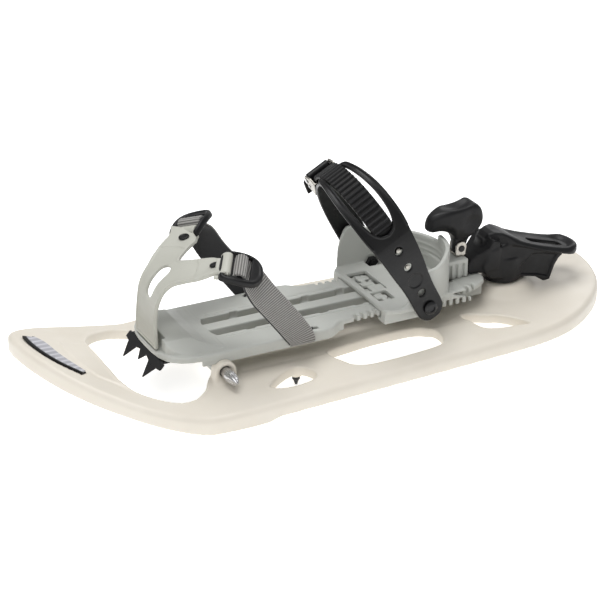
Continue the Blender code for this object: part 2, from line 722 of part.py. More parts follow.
def build_lock():
    bar = add("lock_block", box(-78, -65, -31, 31, 50.6, 57.0), "grey")
    tie = box(-161, -70, -6.0, 6.0, 50.1, 52.7)
    teeth = [box(-76, -68, 8.0, 16.5, 45.0, 52.0), box(-76, -68, -16.5, -8.0, 45.0, 52.0)]
    union(bar, tie, box(-167.5, -158, -5.0, 5.0, 50.1, 52.7), *teeth)
    x, z = LEVER_PIN
    cheek = (
        (x - 4.6, 69.4), (x + 5.2, 69.4), (x + 5.4, z), (x + 4.2, z + 4.6), (x, z + 6.6), (x - 4.2, z + 4.6),
        (x - 5.4, z),
    )
    eye = add("eye_bolt", prism(cheek, "y", -6.6, 6.6), "nickel", True)
    cut(eye, box(x - 9, x + 9, -4.4, 4.4, 71.0, z + 9), rod("y", (x, z), 2.4, -10, 10, 14))
    union(eye, rod("z", (x, 0), 2.6, 53.0, 70.0, 14))
    lever = add("lock_lever", prism(LEVER_PROFILE, "y", -11.0, 11.0), "black")
    cut(lever, rod("y", (x, z), 2.3, -20, 20, 14))
    for low, high in ((4.1, 20), (-20, -4.1)):
        cut(lever, box(-190, -150, low, high, 60, 86))
    for low, high in ((8.5, 20), (-20, -8.5)):
        cut(lever, box(-190, -120, low, high, 80, 95))
    add("lock_lever_pin", rod("y", (x, z), 2.0, -7.6, 7.6, 14), "steel", True)


def loop_point(angle, offset=0.0, shift=0.0):
    """Point on the ankle loop; angle 0 is the left side, 180 the right. offset is outward."""
    a = math.radians(angle)
    y = (LOOP_HALF + offset) * math.cos(a)
    s = LOOP_STRAIGHT + (LOOP_RISE + offset) * math.sin(a)
    return (STRAP_PIVOT[0] + s * math.sin(LEAN) + shift, y, STRAP_PIVOT[1] + s * math.cos(LEAN))


def leg_point(s, side, offset=0.0):
    x = STRAP_PIVOT[0] + s * math.sin(LEAN)
    return (x, side * (LOOP_HALF + offset), STRAP_PIVOT[1] + s * math.cos(LEAN))


def build_ankle_strap():
    across = (math.cos(LEAN), 0.0, -math.sin(LEAN))
    lift = 5.2
    left = [leg_point(-11, 1), leg_point(0, 1), leg_point(18, 1, 0.4), leg_point(32, 1, 1.6)]
    left += [loop_point(a, lift * min(1.0, 0.4 + a / 40.0)) for a in range(0, 101, 10)]
    widths = [18, 26, 29, 31] + [33, 34, 35, 36] + [37] * 7
    strap = add("ankle_strap_left", band(left, across, widths, 2.8), "black")
    slot_path = [loop_point(a, lift) for a in range(14, 131, 8)]
    cut(strap, band(slot_path, across, 23.0, 14.0))
    right = [leg_point(-11, -1), leg_point(0, -1), leg_point(20, -1)]
    right += [loop_point(a) for a in range(180, 101, -8)]
    strap_right = add("ankle_strap_right", band(right, across, [18, 26, 28] + [28] * 10, 2.6), "black")
    for obj, side in ((strap, 1), (strap_right, -1)):
        cut(obj, rod("y", STRAP_PIVOT, 3.3, *sorted((side * 40, side * 75)), 14))
    ladder_path = [loop_point(a, lift + 0.8) for a in range(16, 163, 7)]
    ladder = add("ladder_strap", band(ladder_path, across, 22.0, 3.2), "black")
    origin = loop_point(22, lift + 0.8)
    turn = math.radians(22)
    rise = math.sin(turn) * 0.75
    direction = (rise * math.sin(LEAN), math.cos(turn), rise * math.cos(LEAN))
    cut(ladder, oriented(rod("z", (0, 0), 2.4, -8, 8, 14), origin, direction))
    stud = ((-2.2, 1.6), (-1.2, 2.0), (1.9, 2.0), (1.9, 4.4), (2.9, 3.4))
    add("ladder_stud", oriented(turned("z", (0, 0), stud, 14), origin, direction), "nickel", True)


def local(angle, along, out, across_shift):
    """Point in the ratchet frame: angle places it on the loop."""
    a = math.radians(angle)
    base = Vector(loop_point(angle))
    up = Vector((math.sin(LEAN), 0, math.cos(LEAN)))
    side = Vector((0, 1, 0))
    tangent = (-math.sin(a) * LOOP_HALF * side + math.cos(a) * LOOP_RISE * up).normalized()
    wide = Vector((math.cos(LEAN), 0, -math.sin(LEAN)))
    normal = tangent.cross(wide)
    if normal.dot(base - Vector(loop_point(90)) - up * -60) < 0:
        normal = -normal
    return base + tangent * along + normal * out + wide * across_shift


def local_prism(angle, profile, low, high):
    count = len(profile)
    points = [tuple(local(angle, a, o, low)) for a, o in profile]
    points += [tuple(local(angle, a, o, high)) for a, o in profile]
    faces = [tuple(range(count))[::-1], tuple(range(count, 2 * count))]
    for i in range(count):
        j = (i + 1) % count
        faces.append((i, j, count + j, count + i))
    return points, faces


def local_rod(angle, along, out, radius, low, high, sides=14):
    ring = [
        (along + radius * math.cos(2 * math.pi * i / sides), out + radius * math.sin(2 * math.pi * i / sides))
        for i in range(sides)
    ]
    return local_prism(angle, ring, low, high)


def centroid(outline):
    """Centre of area of a closed outline."""
    area = along = out = 0.0
    for i in range(len(outline)):
        (ax, ay), (bx, by) = outline[i - 1], outline[i]
        cross = ax * by - bx * ay
        area += cross / 2
        along += (ax + bx) * cross / 6
        out += (ay + by) * cross / 6
    return along / area, out / area


PAWL_AXIS = centroid(PAWL_PROFILE)


def build_ratchet():
    base = ((-12, 1.7), (12, 1.7), (12, 3.0), (-12, 3.0))
    frame = add("ratchet_frame", local_prism(RATCHET, base, -14.4, 14.4), "nickel")
    cheek = ((-11.5, 2.1), (11.5, 2.1), (11.5, 12), (4, 18), (-4, 18), (-11.5, 11))
    union(frame, local_prism(RATCHET, cheek, 12.4, 14.2), local_prism(RATCHET, cheek, -14.2, -12.4))
    holes = (local_rod(RATCHET, *LEVER_AXIS, 1.9, -20, 20), local_rod(RATCHET, *PAWL_AXIS, 1.2, -20, 20, 10))
    cut(frame, *holes)
    hood = add("ratchet_lever", local_prism(RATCHET, HOOD_PROFILE, -11.8, 11.8), "black")
    cap = ((3, 18.8), (12, 18.8), (26, 21), (26, 23.3), (12, 22.7), (3, 21.2))
    union(hood, local_prism(RATCHET, cap, -16.0, 16.0))
    cut(hood, local_rod(RATCHET, *LEVER_AXIS, 1.9, -20, 20))
    pawl = add("ratchet_pawl", local_prism(RATCHET, PAWL_PROFILE, -10.5, 10.5), "black")
    cut(pawl, local_rod(RATCHET, *PAWL_AXIS, 1.2, -20, 20, 10))
    add("ratchet_lever_pin", local_rod(RATCHET, *LEVER_AXIS, 1.6, -15.2, 15.2), "steel", True)
    add("ratchet_pawl_pin", local_rod(RATCHET, *PAWL_AXIS, 0.9, -15.2, 15.2, 10), "steel", True)


def build_fixings():
    for name, side in (("left", 1), ("right", -1)):
        profile = ((side * 46.0, 2.8), (side * 61.9, 2.8), (side * 61.9, 6.5), (side * 64.0, 5.4))
        add("ankle_screw_" + name, turned("y", STRAP_PIVOT, profile, 16), "darksteel", True)
        low, high = sorted((side * 46.8, side * 50.6))
        nut = add("ankle_nut_" + name, rod("y", STRAP_PIVOT, 6.0, low, high, 6), "darksteel")
        cut(nut, rod("y", STRAP_PIVOT, 3.1, low - 5, high + 5, 16))


def build_heel_lift():
    lift = add("heel_lift", prism(LIFT_UPPER, "y", -22, 22), "black")
    combine(lift, [prism(both_sides(LIFT_PLAN), "z", 40, 100)], "INTERSECT")
    cup = rod("z", TAIL_BOSS, LIFT_CUP_RADIUS, 36.0, 60.0, 28)
    union(lift, prism(LIFT_LOWER, "y", -17, 17), cup, prism(LIFT_NECK, "y", -12, 12))
    slot = prism(((-240, -5), (-240, 5), (-277, 5), (-277, -5)), "z", 48, 100)
    fork = [rod("y", TAIL_PIN, 6.9, -6.8, 6.8, 20), box(-184, -160, -6.8, 6.8, 40, 60)]
    cut(lift, rod("y", TAIL_PIN, 2.8, -30, 30, 12), slot, *fork)
    add("heel_lift_pin", rod("y", TAIL_PIN, 2.3, -11.6, 11.6, 14), "steel", True)


def set_origin(name, pivot):
    """Moves an object's own origin onto its joint axis, leaving its surface where it is."""
    obj = bpy.data.objects[name]
    point = (Vector(pivot) + Vector(CENTRE)) * MM
    for vertex in obj.data.vertices:
        vertex.co -= point
    obj.location = point


def set_pivots():
    strap = (STRAP_PIVOT[0], 0, STRAP_PIVOT[1])
    bolt = (LEVER_PIN[0], 0, LEVER_PIN[1])
    pivots = {
        (AXLE_X, 0, AXLE_Z): (
            "binding_plate", "toe_crampon", "crampon_rivet_left", "crampon_rivet_right", "toe_harness",
            "harness_rivet_left", "harness_rivet_right", "toe_buckle_left", "toe_buckle_right",
            "toe_strap_left", "toe_strap_right", "heel_lift_pin",
        ),
        (TAIL_PIN[0], 0, TAIL_PIN[1]): ("heel_lift",),
        strap: (
            "ankle_strap_left", "ankle_strap_right", "ladder_strap", "ladder_stud", "ratchet_frame",
            "ratchet_lever_pin", "ratchet_pawl_pin",
        ),
        bolt: ("lock_lever", "eye_bolt", "lock_block", "lock_lever_pin"),
        tuple(local(RATCHET, *LEVER_AXIS, 0)): ("ratchet_lever",),
        tuple(local(RATCHET, *PAWL_AXIS, 0)): ("ratchet_pawl",),
    }
    for pivot, names in pivots.items():
        for name in names:
            set_origin(name, pivot)


def main():
    clear_scene()
    build_deck()
    build_badge()
    build_spikes()
    build_axle()
    build_plate()
    build_crampon()
    build_harness()
    build_buckles()
    build_straps()
    build_heel_unit()
    build_lock()
    build_ankle_strap()
    build_ratchet()
    build_fixings()
    build_heel_lift()
    set_pivots()


main()
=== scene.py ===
import math

import bmesh
import bpy
import numpy as np
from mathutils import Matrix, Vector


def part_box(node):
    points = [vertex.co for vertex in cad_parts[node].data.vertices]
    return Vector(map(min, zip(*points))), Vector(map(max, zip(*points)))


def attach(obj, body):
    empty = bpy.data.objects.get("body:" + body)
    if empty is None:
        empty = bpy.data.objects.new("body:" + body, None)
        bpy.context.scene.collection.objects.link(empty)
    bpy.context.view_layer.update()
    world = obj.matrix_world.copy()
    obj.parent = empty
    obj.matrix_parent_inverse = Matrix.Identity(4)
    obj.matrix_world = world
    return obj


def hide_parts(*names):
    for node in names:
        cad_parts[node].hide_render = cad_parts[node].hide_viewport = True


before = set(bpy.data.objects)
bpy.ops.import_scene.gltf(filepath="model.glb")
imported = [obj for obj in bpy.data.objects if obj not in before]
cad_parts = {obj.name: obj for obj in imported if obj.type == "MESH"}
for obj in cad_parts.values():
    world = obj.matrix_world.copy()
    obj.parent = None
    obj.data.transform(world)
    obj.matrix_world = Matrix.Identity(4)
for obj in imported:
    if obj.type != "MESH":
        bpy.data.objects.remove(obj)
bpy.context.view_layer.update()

import openvdb
from mathutils import Matrix, Vector

MM = 0.001
COARSE = 1.0
BAND_STEPS = 3.0
SHARP_ANGLE = 35
SIDES = (("left", 1), ("right", -1))

# Driving dimensions in millimetres. Places are local: the toe axle lies at AXLE_X, AXLE_Z.
AXLE_X, AXLE_Z = 99.0, 32.0
TAIL_PIN = (-174.0, 56.0)
STRAP_PIVOT = (-100.0, 53.0)
LEVER_PIN = (-164.0, 76.0)
CUP_X, CUP_RADIUS, CUP_WALL = -91.0, 55.0, 4.0
LEAN = math.radians(28.5)
LOOP_HALF, LOOP_STRAIGHT, LOOP_RISE = 59.0, 45.0, 83.0
RATCHET_ANGLE = 133.0
LEVER_AXIS = (0.0, 14.5)
PAWL_AXIS = (4.73, 9.99)


def frame_offset():
    """Where the local zero lies in the row frame, found from the toe axle."""
    low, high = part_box("toe_axle")
    middle = (low + high) / 2 / MM
    return Vector((middle.x - AXLE_X, middle.y, middle.z - AXLE_Z))


OFFSET = frame_offset()

# ---------------------------------------------------------------- distance fields


def curve_span(p0, p1, p2, p3, count):
    """Points of the smooth curve from p1 towards p2."""
    out = []
    for j in range(count):
        t = j / count
        out.append(0.5 * (2 * p1 + (p2 - p0) * t + (2 * p0 - 5 * p1 + 4 * p2 - p3) * t * t
                          + (3 * p1 - p0 - 3 * p2 + p3) * t ** 3))
    return out


def smooth_loop(control, per_span=6):
    """Closed smooth curve through the control points."""
    points = [np.array(p, float) for p in control]
    out = []
    for i in range(len(points)):
        out += curve_span(*(points[(i + k - 1) % len(points)] for k in range(4)), per_span)
    return np.array(out)


def smooth_line(control, per_span=8):
    """Open smooth curve through the control points."""
    points = [np.array(p, float) for p in control]
    points = [2 * points[0] - points[1]] + points + [2 * points[-1] - points[-2]]
    out = []
    for four in zip(points, points[1:], points[2:], points[3:]):
        out += curve_span(*four, per_span)
    out.append(points[-2])
    return np.array(out)


def both_sides(half):
    """Closed outline from one side of a shape that is the same across y = 0."""
    return list(half) + [(x, -y) for x, y in reversed(half)]


def mirrored(half):
    """Closed outline from an array of points on one side of v = 0."""
    return np.concatenate([half, (half * (1, -1))[::-1]])


def polygon(outline, u, v):
    """Signed distance to a closed outline, negative inside."""
    u, v = np.broadcast_arrays(u, v)
    best = np.full(u.shape, 1e12, np.float32)
    inside = np.zeros(u.shape, bool)
    points = np.asarray(outline, np.float32)
    for a, b in zip(np.roll(points, 1, axis=0), points):
        edge = b - a
        wu, wv = u - a[0], v - a[1]
        t = np.clip((wu * edge[0] + wv * edge[1]) / max(float(edge @ edge), 1e-9), 0, 1)
        best = np.minimum(best, (wu - edge[0] * t) ** 2 + (wv - edge[1] * t) ** 2)
        if a[1] != b[1]:
            crosses = (a[1] > v) != (b[1] > v)
            inside ^= crosses & (u < edge[0] * (v - a[1]) / edge[1] + a[0])
    return np.where(inside, -1, 1) * np.sqrt(best)


def meet(a, b, r=0.0):
    """What lies in both, with its edge rounded to radius r."""
    if r == 0:
        return np.maximum(a, b)
    corner = np.sqrt(np.maximum(a + r, 0) ** 2 + np.maximum(b + r, 0) ** 2)
    return np.minimum(np.maximum(a, b), -r) + corner


def join(a, b, r=0.0):
    """What lies in either, with the inner corner filled to radius r."""
    return -meet(-a, -b, r)


def cut(a, b, r=0.0):
    return meet(a, -b, r)


def span(w, low, high):
    return np.maximum(low - w, w - high)


def away_from(u, v, centre):
    return np.sqrt((u - centre[0]) ** 2 + (v - centre[1]) ** 2)


def slab(outline, u, v, w, low, high, r=0.0):
    """Outline in u, v raised from low to high along w."""
    return meet(polygon(outline, u, v), span(w, low, high), r)


def block(x, y, z, low, high, r=0.0):
    half = [(h - l) / 2 for l, h in zip(low, high)]
    mid = [(h + l) / 2 for l, h in zip(low, high)]
    q = [np.abs(p - m) - (s - r) for p, m, s in zip((x, y, z), mid, half)]
    out = np.sqrt(sum(np.maximum(k, 0) ** 2 for k in q))
    return out + np.minimum(np.maximum(np.maximum(q[0], q[1]), q[2]), 0) - r


def tube(u, v, w, centre, radius, low, high, r=0.0):
    return meet(away_from(u, v, centre) - radius, span(w, low, high), r)


def ball(x, y, z, centre, radii):
    """Ellipsoid, near enough to a distance for smooth joins."""
    p = [(k - c) / r for k, c, r in zip((x, y, z), centre, radii)]
    q = [(k - c) / r ** 2 for k, c, r in zip((x, y, z), centre, radii)]
    far = np.sqrt(sum(k ** 2 for k in p))
    return far * (far - 1) / np.maximum(np.sqrt(sum(k ** 2 for k in q)), 1e-6)


def limb(x, y, z, a, b, ra, rb):
    """Tapering rod with round ends from a to b."""
    d = [q - p for p, q in zip(a, b)]
    t = sum((k - p) * e for k, p, e in zip((x, y, z), a, d)) / sum(e * e for e in d)
    t = np.clip(t, 0, 1)
    return np.sqrt(sum((k - p - e * t) ** 2 for k, p, e in zip((x, y, z), a, d))) - (ra + (rb - ra) * t)


def ramp(value, low, high):
    t = np.clip((value - low) / (high - low), 0, 1)
    return t * t * (3 - 2 * t)


# ---------------------------------------------------------------- meshes


def to_frame(points):
    return (np.asarray(points, float) + np.array(OFFSET)) * MM


def finish_mesh(name, points, faces, look, body, replaces=(), sharp=None):
    mesh = bpy.data.meshes.new(name)
    mesh.from_pydata(to_frame(points).tolist(), [], faces)
    mesh.validate()
    mesh.materials.append(LOOKS[look])
    mesh.shade_smooth()
    if sharp is not None:
        mesh.set_sharp_from_angle(angle=math.radians(sharp))
    obj = bpy.data.objects.new(name, mesh)
    bpy.context.scene.collection.objects.link(obj)
    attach(obj, body)
    if replaces:
        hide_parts(*replaces)
    return obj


def outward(points, quads):
    """Turns the faces over if they enclose a negative volume."""
    a, b, c, d = (points[quads[:, k]] for k in range(4))
    volume = np.einsum("ij,ij->", a, np.cross(b, c)) + np.einsum("ij,ij->", a, np.cross(c, d))
    return quads[:, ::-1] if volume < 0 else quads


def sculpt(name, low, high, step, field, look, body, replaces=(), warp=None, keep=1.0, paint=None):
    """Meshes the zero surface of field(x, y, z) between two corners; warp then bends its points.

    paint(points) gives the groove attribute, a mask of painted shade, and keep is the share of faces left
    after thinning.
    """
    step = step * COARSE
    axes = [np.arange(l - 1.5 * step, h + 2.5 * step, step, dtype=np.float32) for l, h in zip(low, high)]
    x, y, z = axes[0][:, None, None], axes[1][None, :, None], axes[2][None, None, :]
    values = np.broadcast_to(field(x, y, z), [len(a) for a in axes]).astype(np.float32) / step
    grid = openvdb.FloatGrid()
    grid.background = BAND_STEPS
    grid.copyFromArray(np.clip(values, -BAND_STEPS, BAND_STEPS))
    points, _, quads = grid.convertToPolygons(0.0, 0.0)
    points = points.astype(float) * step + np.array([a[0] for a in axes])
    quads = outward(points, quads)
    shades = paint(points) if paint is not None else None
    if warp is not None:
        points = warp(points)
        quads = outward(points, quads)
    obj = finish_mesh(name, points, quads.tolist(), look, body, replaces)
    if shades is not None:
        # The groove attribute holds painted shade: the woven material mixes in its dark colour where the
        # value is high.
        layer = obj.data.attributes.new("groove", "FLOAT", "POINT")
        layer.data.foreach_set("value", np.asarray(shades, np.float32))
    if keep < 1.0:
        thin = obj.modifiers.new("thin", "DECIMATE")
        thin.ratio = keep


def turned(name, axis, centre, profile, look, body, replaces=(), sides=40, flute=None, turn=None):
    """Solid of revolution from (station, radius) pairs. flute(station, angle) scales a radius."""
    points, faces, rings = [], [], []
    for station, radius in profile:
        rings.append(range(len(points), len(points) + sides))
        for i in range(sides):
            angle = 2 * math.pi * i / sides
            r = radius * (flute(station, angle) if flute else 1)
            u, v = centre[0] + r * math.cos(angle), centre[1] + r * math.sin(angle)
            points.append({"x": (station, u, v), "y": (u, station, v), "z": (u, v, station)}[axis])
    for first, second in zip(rings, rings[1:]):
        for i in range(sides):
            j = (i + 1) % sides
            faces.append((first[i], first[j], second[j], second[i]))
    faces.append(tuple(reversed(rings[0])))
    faces.append(tuple(rings[-1]))
    if turn is not None:
        points = [tuple(turn @ Vector(p)) for p in points]
    fix_normals(finish_mesh(name, points, faces, look, body, replaces, sharp=SHARP_ANGLE))


def fix_normals(obj):
    work = bmesh.new()
    work.from_mesh(obj.data)
    bmesh.ops.recalc_face_normals(work, faces=work.faces)
    work.to_mesh(obj.data)
    work.free()


# ---------------------------------------------------------------- materials

PLASTIC_GRAIN, METAL_GRAIN, GLOSS_SPREAD = 2600.0, 900.0, 0.08


def put(node, **values):
    """Sets constants on a node's inputs; an underscore in a name stands for a space."""
    for key, value in values.items():
        node.inputs[key.replace("_", " ")].default_value = value


def nodes_of(name):
    look = bpy.data.materials.new(name)
    look.use_nodes = True
    tree = look.node_tree
    return look, tree, tree.nodes["Principled BSDF"]


def add_noise(tree, scale, detail=3.0, rough=0.5):
    where = tree.nodes.new("ShaderNodeTexCoord")
    noise = tree.nodes.new("ShaderNodeTexNoise")
    put(noise, Scale=scale, Detail=detail, Roughness=rough)
    tree.links.new(where.outputs["Object"], noise.inputs["Vector"])
    return noise


def span_node(tree, source, low, high, from_low=0.3, from_high=0.7):
    node = tree.nodes.new("ShaderNodeMapRange")
    put(node, From_Min=from_low, From_Max=from_high, To_Min=low, To_Max=high)
    tree.links.new(source, node.inputs["Value"])
    return node.outputs["Result"]


def mixed_colour(tree, factor, first, second):
    node = tree.nodes.new("ShaderNodeMix")
    node.data_type = "RGBA"
    tree.links.new(factor, node.inputs[0])
    for socket, value in ((node.inputs[6], first), (node.inputs[7], second)):
        if isinstance(value, tuple):
            socket.default_value = (*value, 1.0)
        else:
            tree.links.new(value, socket)
    return node.outputs[2]


def add_bump(tree, shader, height, strength, depth):
    bump = tree.nodes.new("ShaderNodeBump")
    put(bump, Strength=strength, Distance=depth * MM)
    tree.links.new(height, bump.inputs["Height"])
    tree.links.new(bump.outputs["Normal"], shader.inputs["Normal"])


def moulded(name, colour, second, rough, depth=0.02, metal=0.0, specular=0.5):
    """Moulded plastic or coated metal: cloudy colour, uneven gloss and a fine grain."""
    look, tree, shader = nodes_of(name)
    cloud = add_noise(tree, 22.0, 4.0)
    tint = span_node(tree, cloud.outputs["Fac"], 0.0, 1.0)
    tree.links.new(mixed_colour(tree, tint, colour, second), shader.inputs["Base Color"])
    blotch = add_noise(tree, 90.0, 5.0, 0.6)
    gloss = span_node(tree, blotch.outputs["Fac"], rough - GLOSS_SPREAD, rough + GLOSS_SPREAD)
    tree.links.new(gloss, shader.inputs["Roughness"])
    fine = add_noise(tree, PLASTIC_GRAIN, 2.0, 0.6)
    add_bump(tree, shader, fine.outputs["Fac"], 0.35, depth)
    put(shader, Metallic=metal, Coat_Weight=0.0, Coat_Roughness=0.15, Specular_IOR_Level=specular)
    return look


def woven(name, colour, dark, rough=0.85, sheen=0.25, specular=0.3):
    """Webbing: the groove attribute paints shade into the gaps between cross ribs; fine noise gives the
    fibres.
    """
    look, tree, shader = nodes_of(name)
    # Painted shade: the dark colour, which also gives the fibres their darker flecks, is mixed in where the
    # groove attribute is high.
    groove = tree.nodes.new("ShaderNodeAttribute")
    groove.attribute_name = "groove"
    fibre = add_noise(tree, 1500.0, 3.0, 0.7)
    base = mixed_colour(tree, span_node(tree, fibre.outputs["Fac"], 0.0, 0.45), colour, dark)
    tree.links.new(mixed_colour(tree, groove.outputs["Fac"], base, dark), shader.inputs["Base Color"])
    add_bump(tree, shader, fibre.outputs["Fac"], 0.6, 0.15)
    put(shader, Roughness=rough, Sheen_Weight=sheen, Sheen_Roughness=0.5, Specular_IOR_Level=specular)
    return look


def printed(name):
    """Badge insert: soft grey with a plain pattern of slanting bars."""
    look, tree, shader = nodes_of(name)
    where = tree.nodes.new("ShaderNodeTexCoord")
    turn = tree.nodes.new("ShaderNodeMapping")
    put(turn, Rotation=(0.0, 0.0, math.radians(62)))
    tree.links.new(where.outputs["Object"], turn.inputs["Vector"])
    wave = tree.nodes.new("ShaderNodeTexWave")
    put(wave, Scale=48.0, Distortion=0.0)
    tree.links.new(turn.outputs["Vector"], wave.inputs["Vector"])
    bars = span_node(tree, wave.outputs["Fac"], 0.0, 0.75, 0.55, 0.8)
    tone = add_noise(tree, 40.0)
    shade = span_node(tree, tone.outputs["Fac"], 0.0, 1.0)
    base = mixed_colour(tree, shade, (0.36, 0.36, 0.40), (0.44, 0.44, 0.48))
    tree.links.new(mixed_colour(tree, bars, base, (0.66, 0.66, 0.70)), shader.inputs["Base Color"])
    put(shader, Roughness=0.3, Coat_Weight=0.5)
    return look


def metal(name, colour, rough):
    """Bare metal with fine streaks that vary its gloss and tone."""
    look, tree, shader = nodes_of(name)
    where = tree.nodes.new("ShaderNodeTexCoord")
    stretch = tree.nodes.new("ShaderNodeMapping")
    put(stretch, Scale=(1.0, 0.12, 1.0))
    tree.links.new(where.outputs["Object"], stretch.inputs["Vector"])
    noise = tree.nodes.new("ShaderNodeTexNoise")
    put(noise, Scale=METAL_GRAIN)
    tree.links.new(stretch.outputs["Vector"], noise.inputs["Vector"])
    gloss = span_node(tree, noise.outputs["Fac"], rough - 0.07, rough + 0.1)
    tree.links.new(gloss, shader.inputs["Roughness"])
    darker = tuple(c * 0.8 for c in colour)
    tree.links.new(mixed_colour(tree, noise.outputs["Fac"], colour, darker), shader.inputs["Base Color"])
    put(shader, Metallic=1.0)
    return look


LOOKS = {
    "deck": moulded("cream_plastic", (0.745, 0.70, 0.62), (0.715, 0.665, 0.58), 0.42, depth=0.012,
                    specular=0.4),
    "badge": printed("badge_print"),
    "black": moulded("black_plastic", (0.0045, 0.0045, 0.005), (0.008, 0.008, 0.009), 0.46, depth=0.03,
                     specular=0.28),
    "gloss": moulded("black_gloss_plastic", (0.004, 0.004, 0.0042), (0.007, 0.007, 0.0075), 0.34, depth=0.008,
                     specular=0.3),
    "grey": moulded("grey_plastic", (0.50, 0.51, 0.48), (0.46, 0.47, 0.44), 0.42, depth=0.015, specular=0.4),
    "harness": moulded("harness_plastic", (0.48, 0.48, 0.43), (0.44, 0.44, 0.39), 0.45, depth=0.01,
                       specular=0.4),
    "webbing": woven("grey_webbing", (0.44, 0.43, 0.41), (0.09, 0.088, 0.084)),
    "lining": woven("dark_webbing", (0.035, 0.035, 0.037), (0.012, 0.012, 0.013)),
    "ladder": woven("ladder_plastic", (0.009, 0.009, 0.0095), (0.0015, 0.0015, 0.0015), 0.5, 0.0, 0.3),
    "steel": metal("bright_steel", (0.66, 0.66, 0.67), 0.24),
    "darksteel": moulded("black_steel", (0.012, 0.012, 0.013), (0.02, 0.02, 0.021), 0.34, metal=0.4,
                         depth=0.01),
    "nickel": metal("nickel_plate", (0.46, 0.44, 0.40), 0.3),
    "rivet": metal("rivet_metal", (0.03, 0.03, 0.03), 0.4),
}

# ---------------------------------------------------------------- deck

DECK_OUTLINE = (
    (-324, -28), (-319, -4), (-308, 22), (-290, 46), (-264, 68), (-235, 84), (-200, 93),
    (-150, 97), (-75, 101), (0, 105), (60, 108), (110, 110), (150, 105), (184, 90), (212, 66),
    (235, 36), (250, 4), (258, -25), (259, -48), (250, -64), (228, -78), (195, -88), (160, -95),
    (120, -99), (60, -102), (0, -103), (-75, -100), (-150, -97), (-200, -94), (-250, -88),
    (-286, -79), (-311, -64), (-323, -46),
)
FRONT_OPENING = (
    (190, 36), (186, 52), (173, 67), (154, 76), (137, 73), (122, 62), (110, 44), (96, 42), (84, 38),
)
OVAL_HOLE = ((68, 79), (52, 66), (37, 59), (27, 63), (22, 76), (30, 84), (48, 87), (62, 85))
LONG_HOLE = (
    (-4, 46), (-30, 40), (-58, 37), (-90, 37), (-105, 42), (-112, 54), (-110, 68), (-102, 76),
    (-72, 80), (-40, 81), (-22, 79), (-11, 69),
)
TAIL_HOLE = ((-149, 34), (-165, 40), (-180, 51), (-191, 64), (-198, 75), (-184, 74), (-168, 71.5), (-155, 66),
             (-150, 50))
DECK_THICK, SKIRT_WALL, COLLAR_DEEP = 4.0, 3.6, 9.0
RIM_TOP, CROWN, TOE_START, TOE_LENGTH, TOE_RISE, TOE_POWER = 21.0, 3.5, 135.0, 123.0, 34.0, 1.25
TAIL_BOSS, TAIL_BOSS_RADIUS, TAIL_BOSS_TOP = (-212.5, 0.0), 20.0, 35.4
SPIKES = {"front": (84.0, 81.0), "middle": (28.0, 48.0), "rear": (-222.0, 58.0)}
PAD = ((183, 56), (206, 31), (214, 6), (216, -40), (180, -40), (170, 56))


def rise(x):
    return TOE_RISE * np.clip((x - TOE_START) / TOE_LENGTH, 0, None) ** TOE_POWER


def plain_deck_height(x, y):
    return RIM_TOP + CROWN * np.clip(1 - (y / 100.0) ** 2, 0, None) + rise(x)


def deck_height(x, y):
    """Top of the deck with its tray under the binding, the pad behind the badge and the tail's dome."""
    tray = ramp(46 - np.abs(y), -4, 4) * ramp(x, -190, -178) * ramp(-x, -84, -76)
    pad = ramp(-polygon(PAD, x, y), -0.8, 0.8)
    away = away_from(x, y, TAIL_BOSS)
    dome = np.exp(-np.clip(away - TAIL_BOSS_RADIUS, 0, None) ** 2 / (2 * 6.5 ** 2))
    return plain_deck_height(x, y) - 1.4 * tray + 1.3 * pad + (TAIL_BOSS_TOP - 25.2) * dome


def skirt_low(x):
    toe = np.clip((x - TOE_START) / TOE_LENGTH, 0, None)
    step = ramp(x, 70, 86) * np.clip(1 - toe / 0.5, 0, None)
    return RIM_TOP + rise(x) - 13.0 - 3.0 * step


def badge_plane(x):
    low, high = 215.0, 250.0
    slope = (plain_deck_height(high, 0) - plain_deck_height(low, 0)) / (high - low)
    return plain_deck_height(low, 0) + slope * (x - low), math.sqrt(1 + slope * slope)


BADGE_FRONT = ((220, 27), (233, 8), (241, -10), (246, -30), (247, -45))
BADGE_REAR = ((235, -46), (229, -34), (224, -8), (214, 22))


def badge_outline(grow):
    """Badge plan with soft corners, moved outwards by grow."""
    front = smooth_line(BADGE_FRONT)
    rear = smooth_line(BADGE_REAR)
    return lambda x, y: polygon(np.concatenate([front, rear]), x, y) - grow


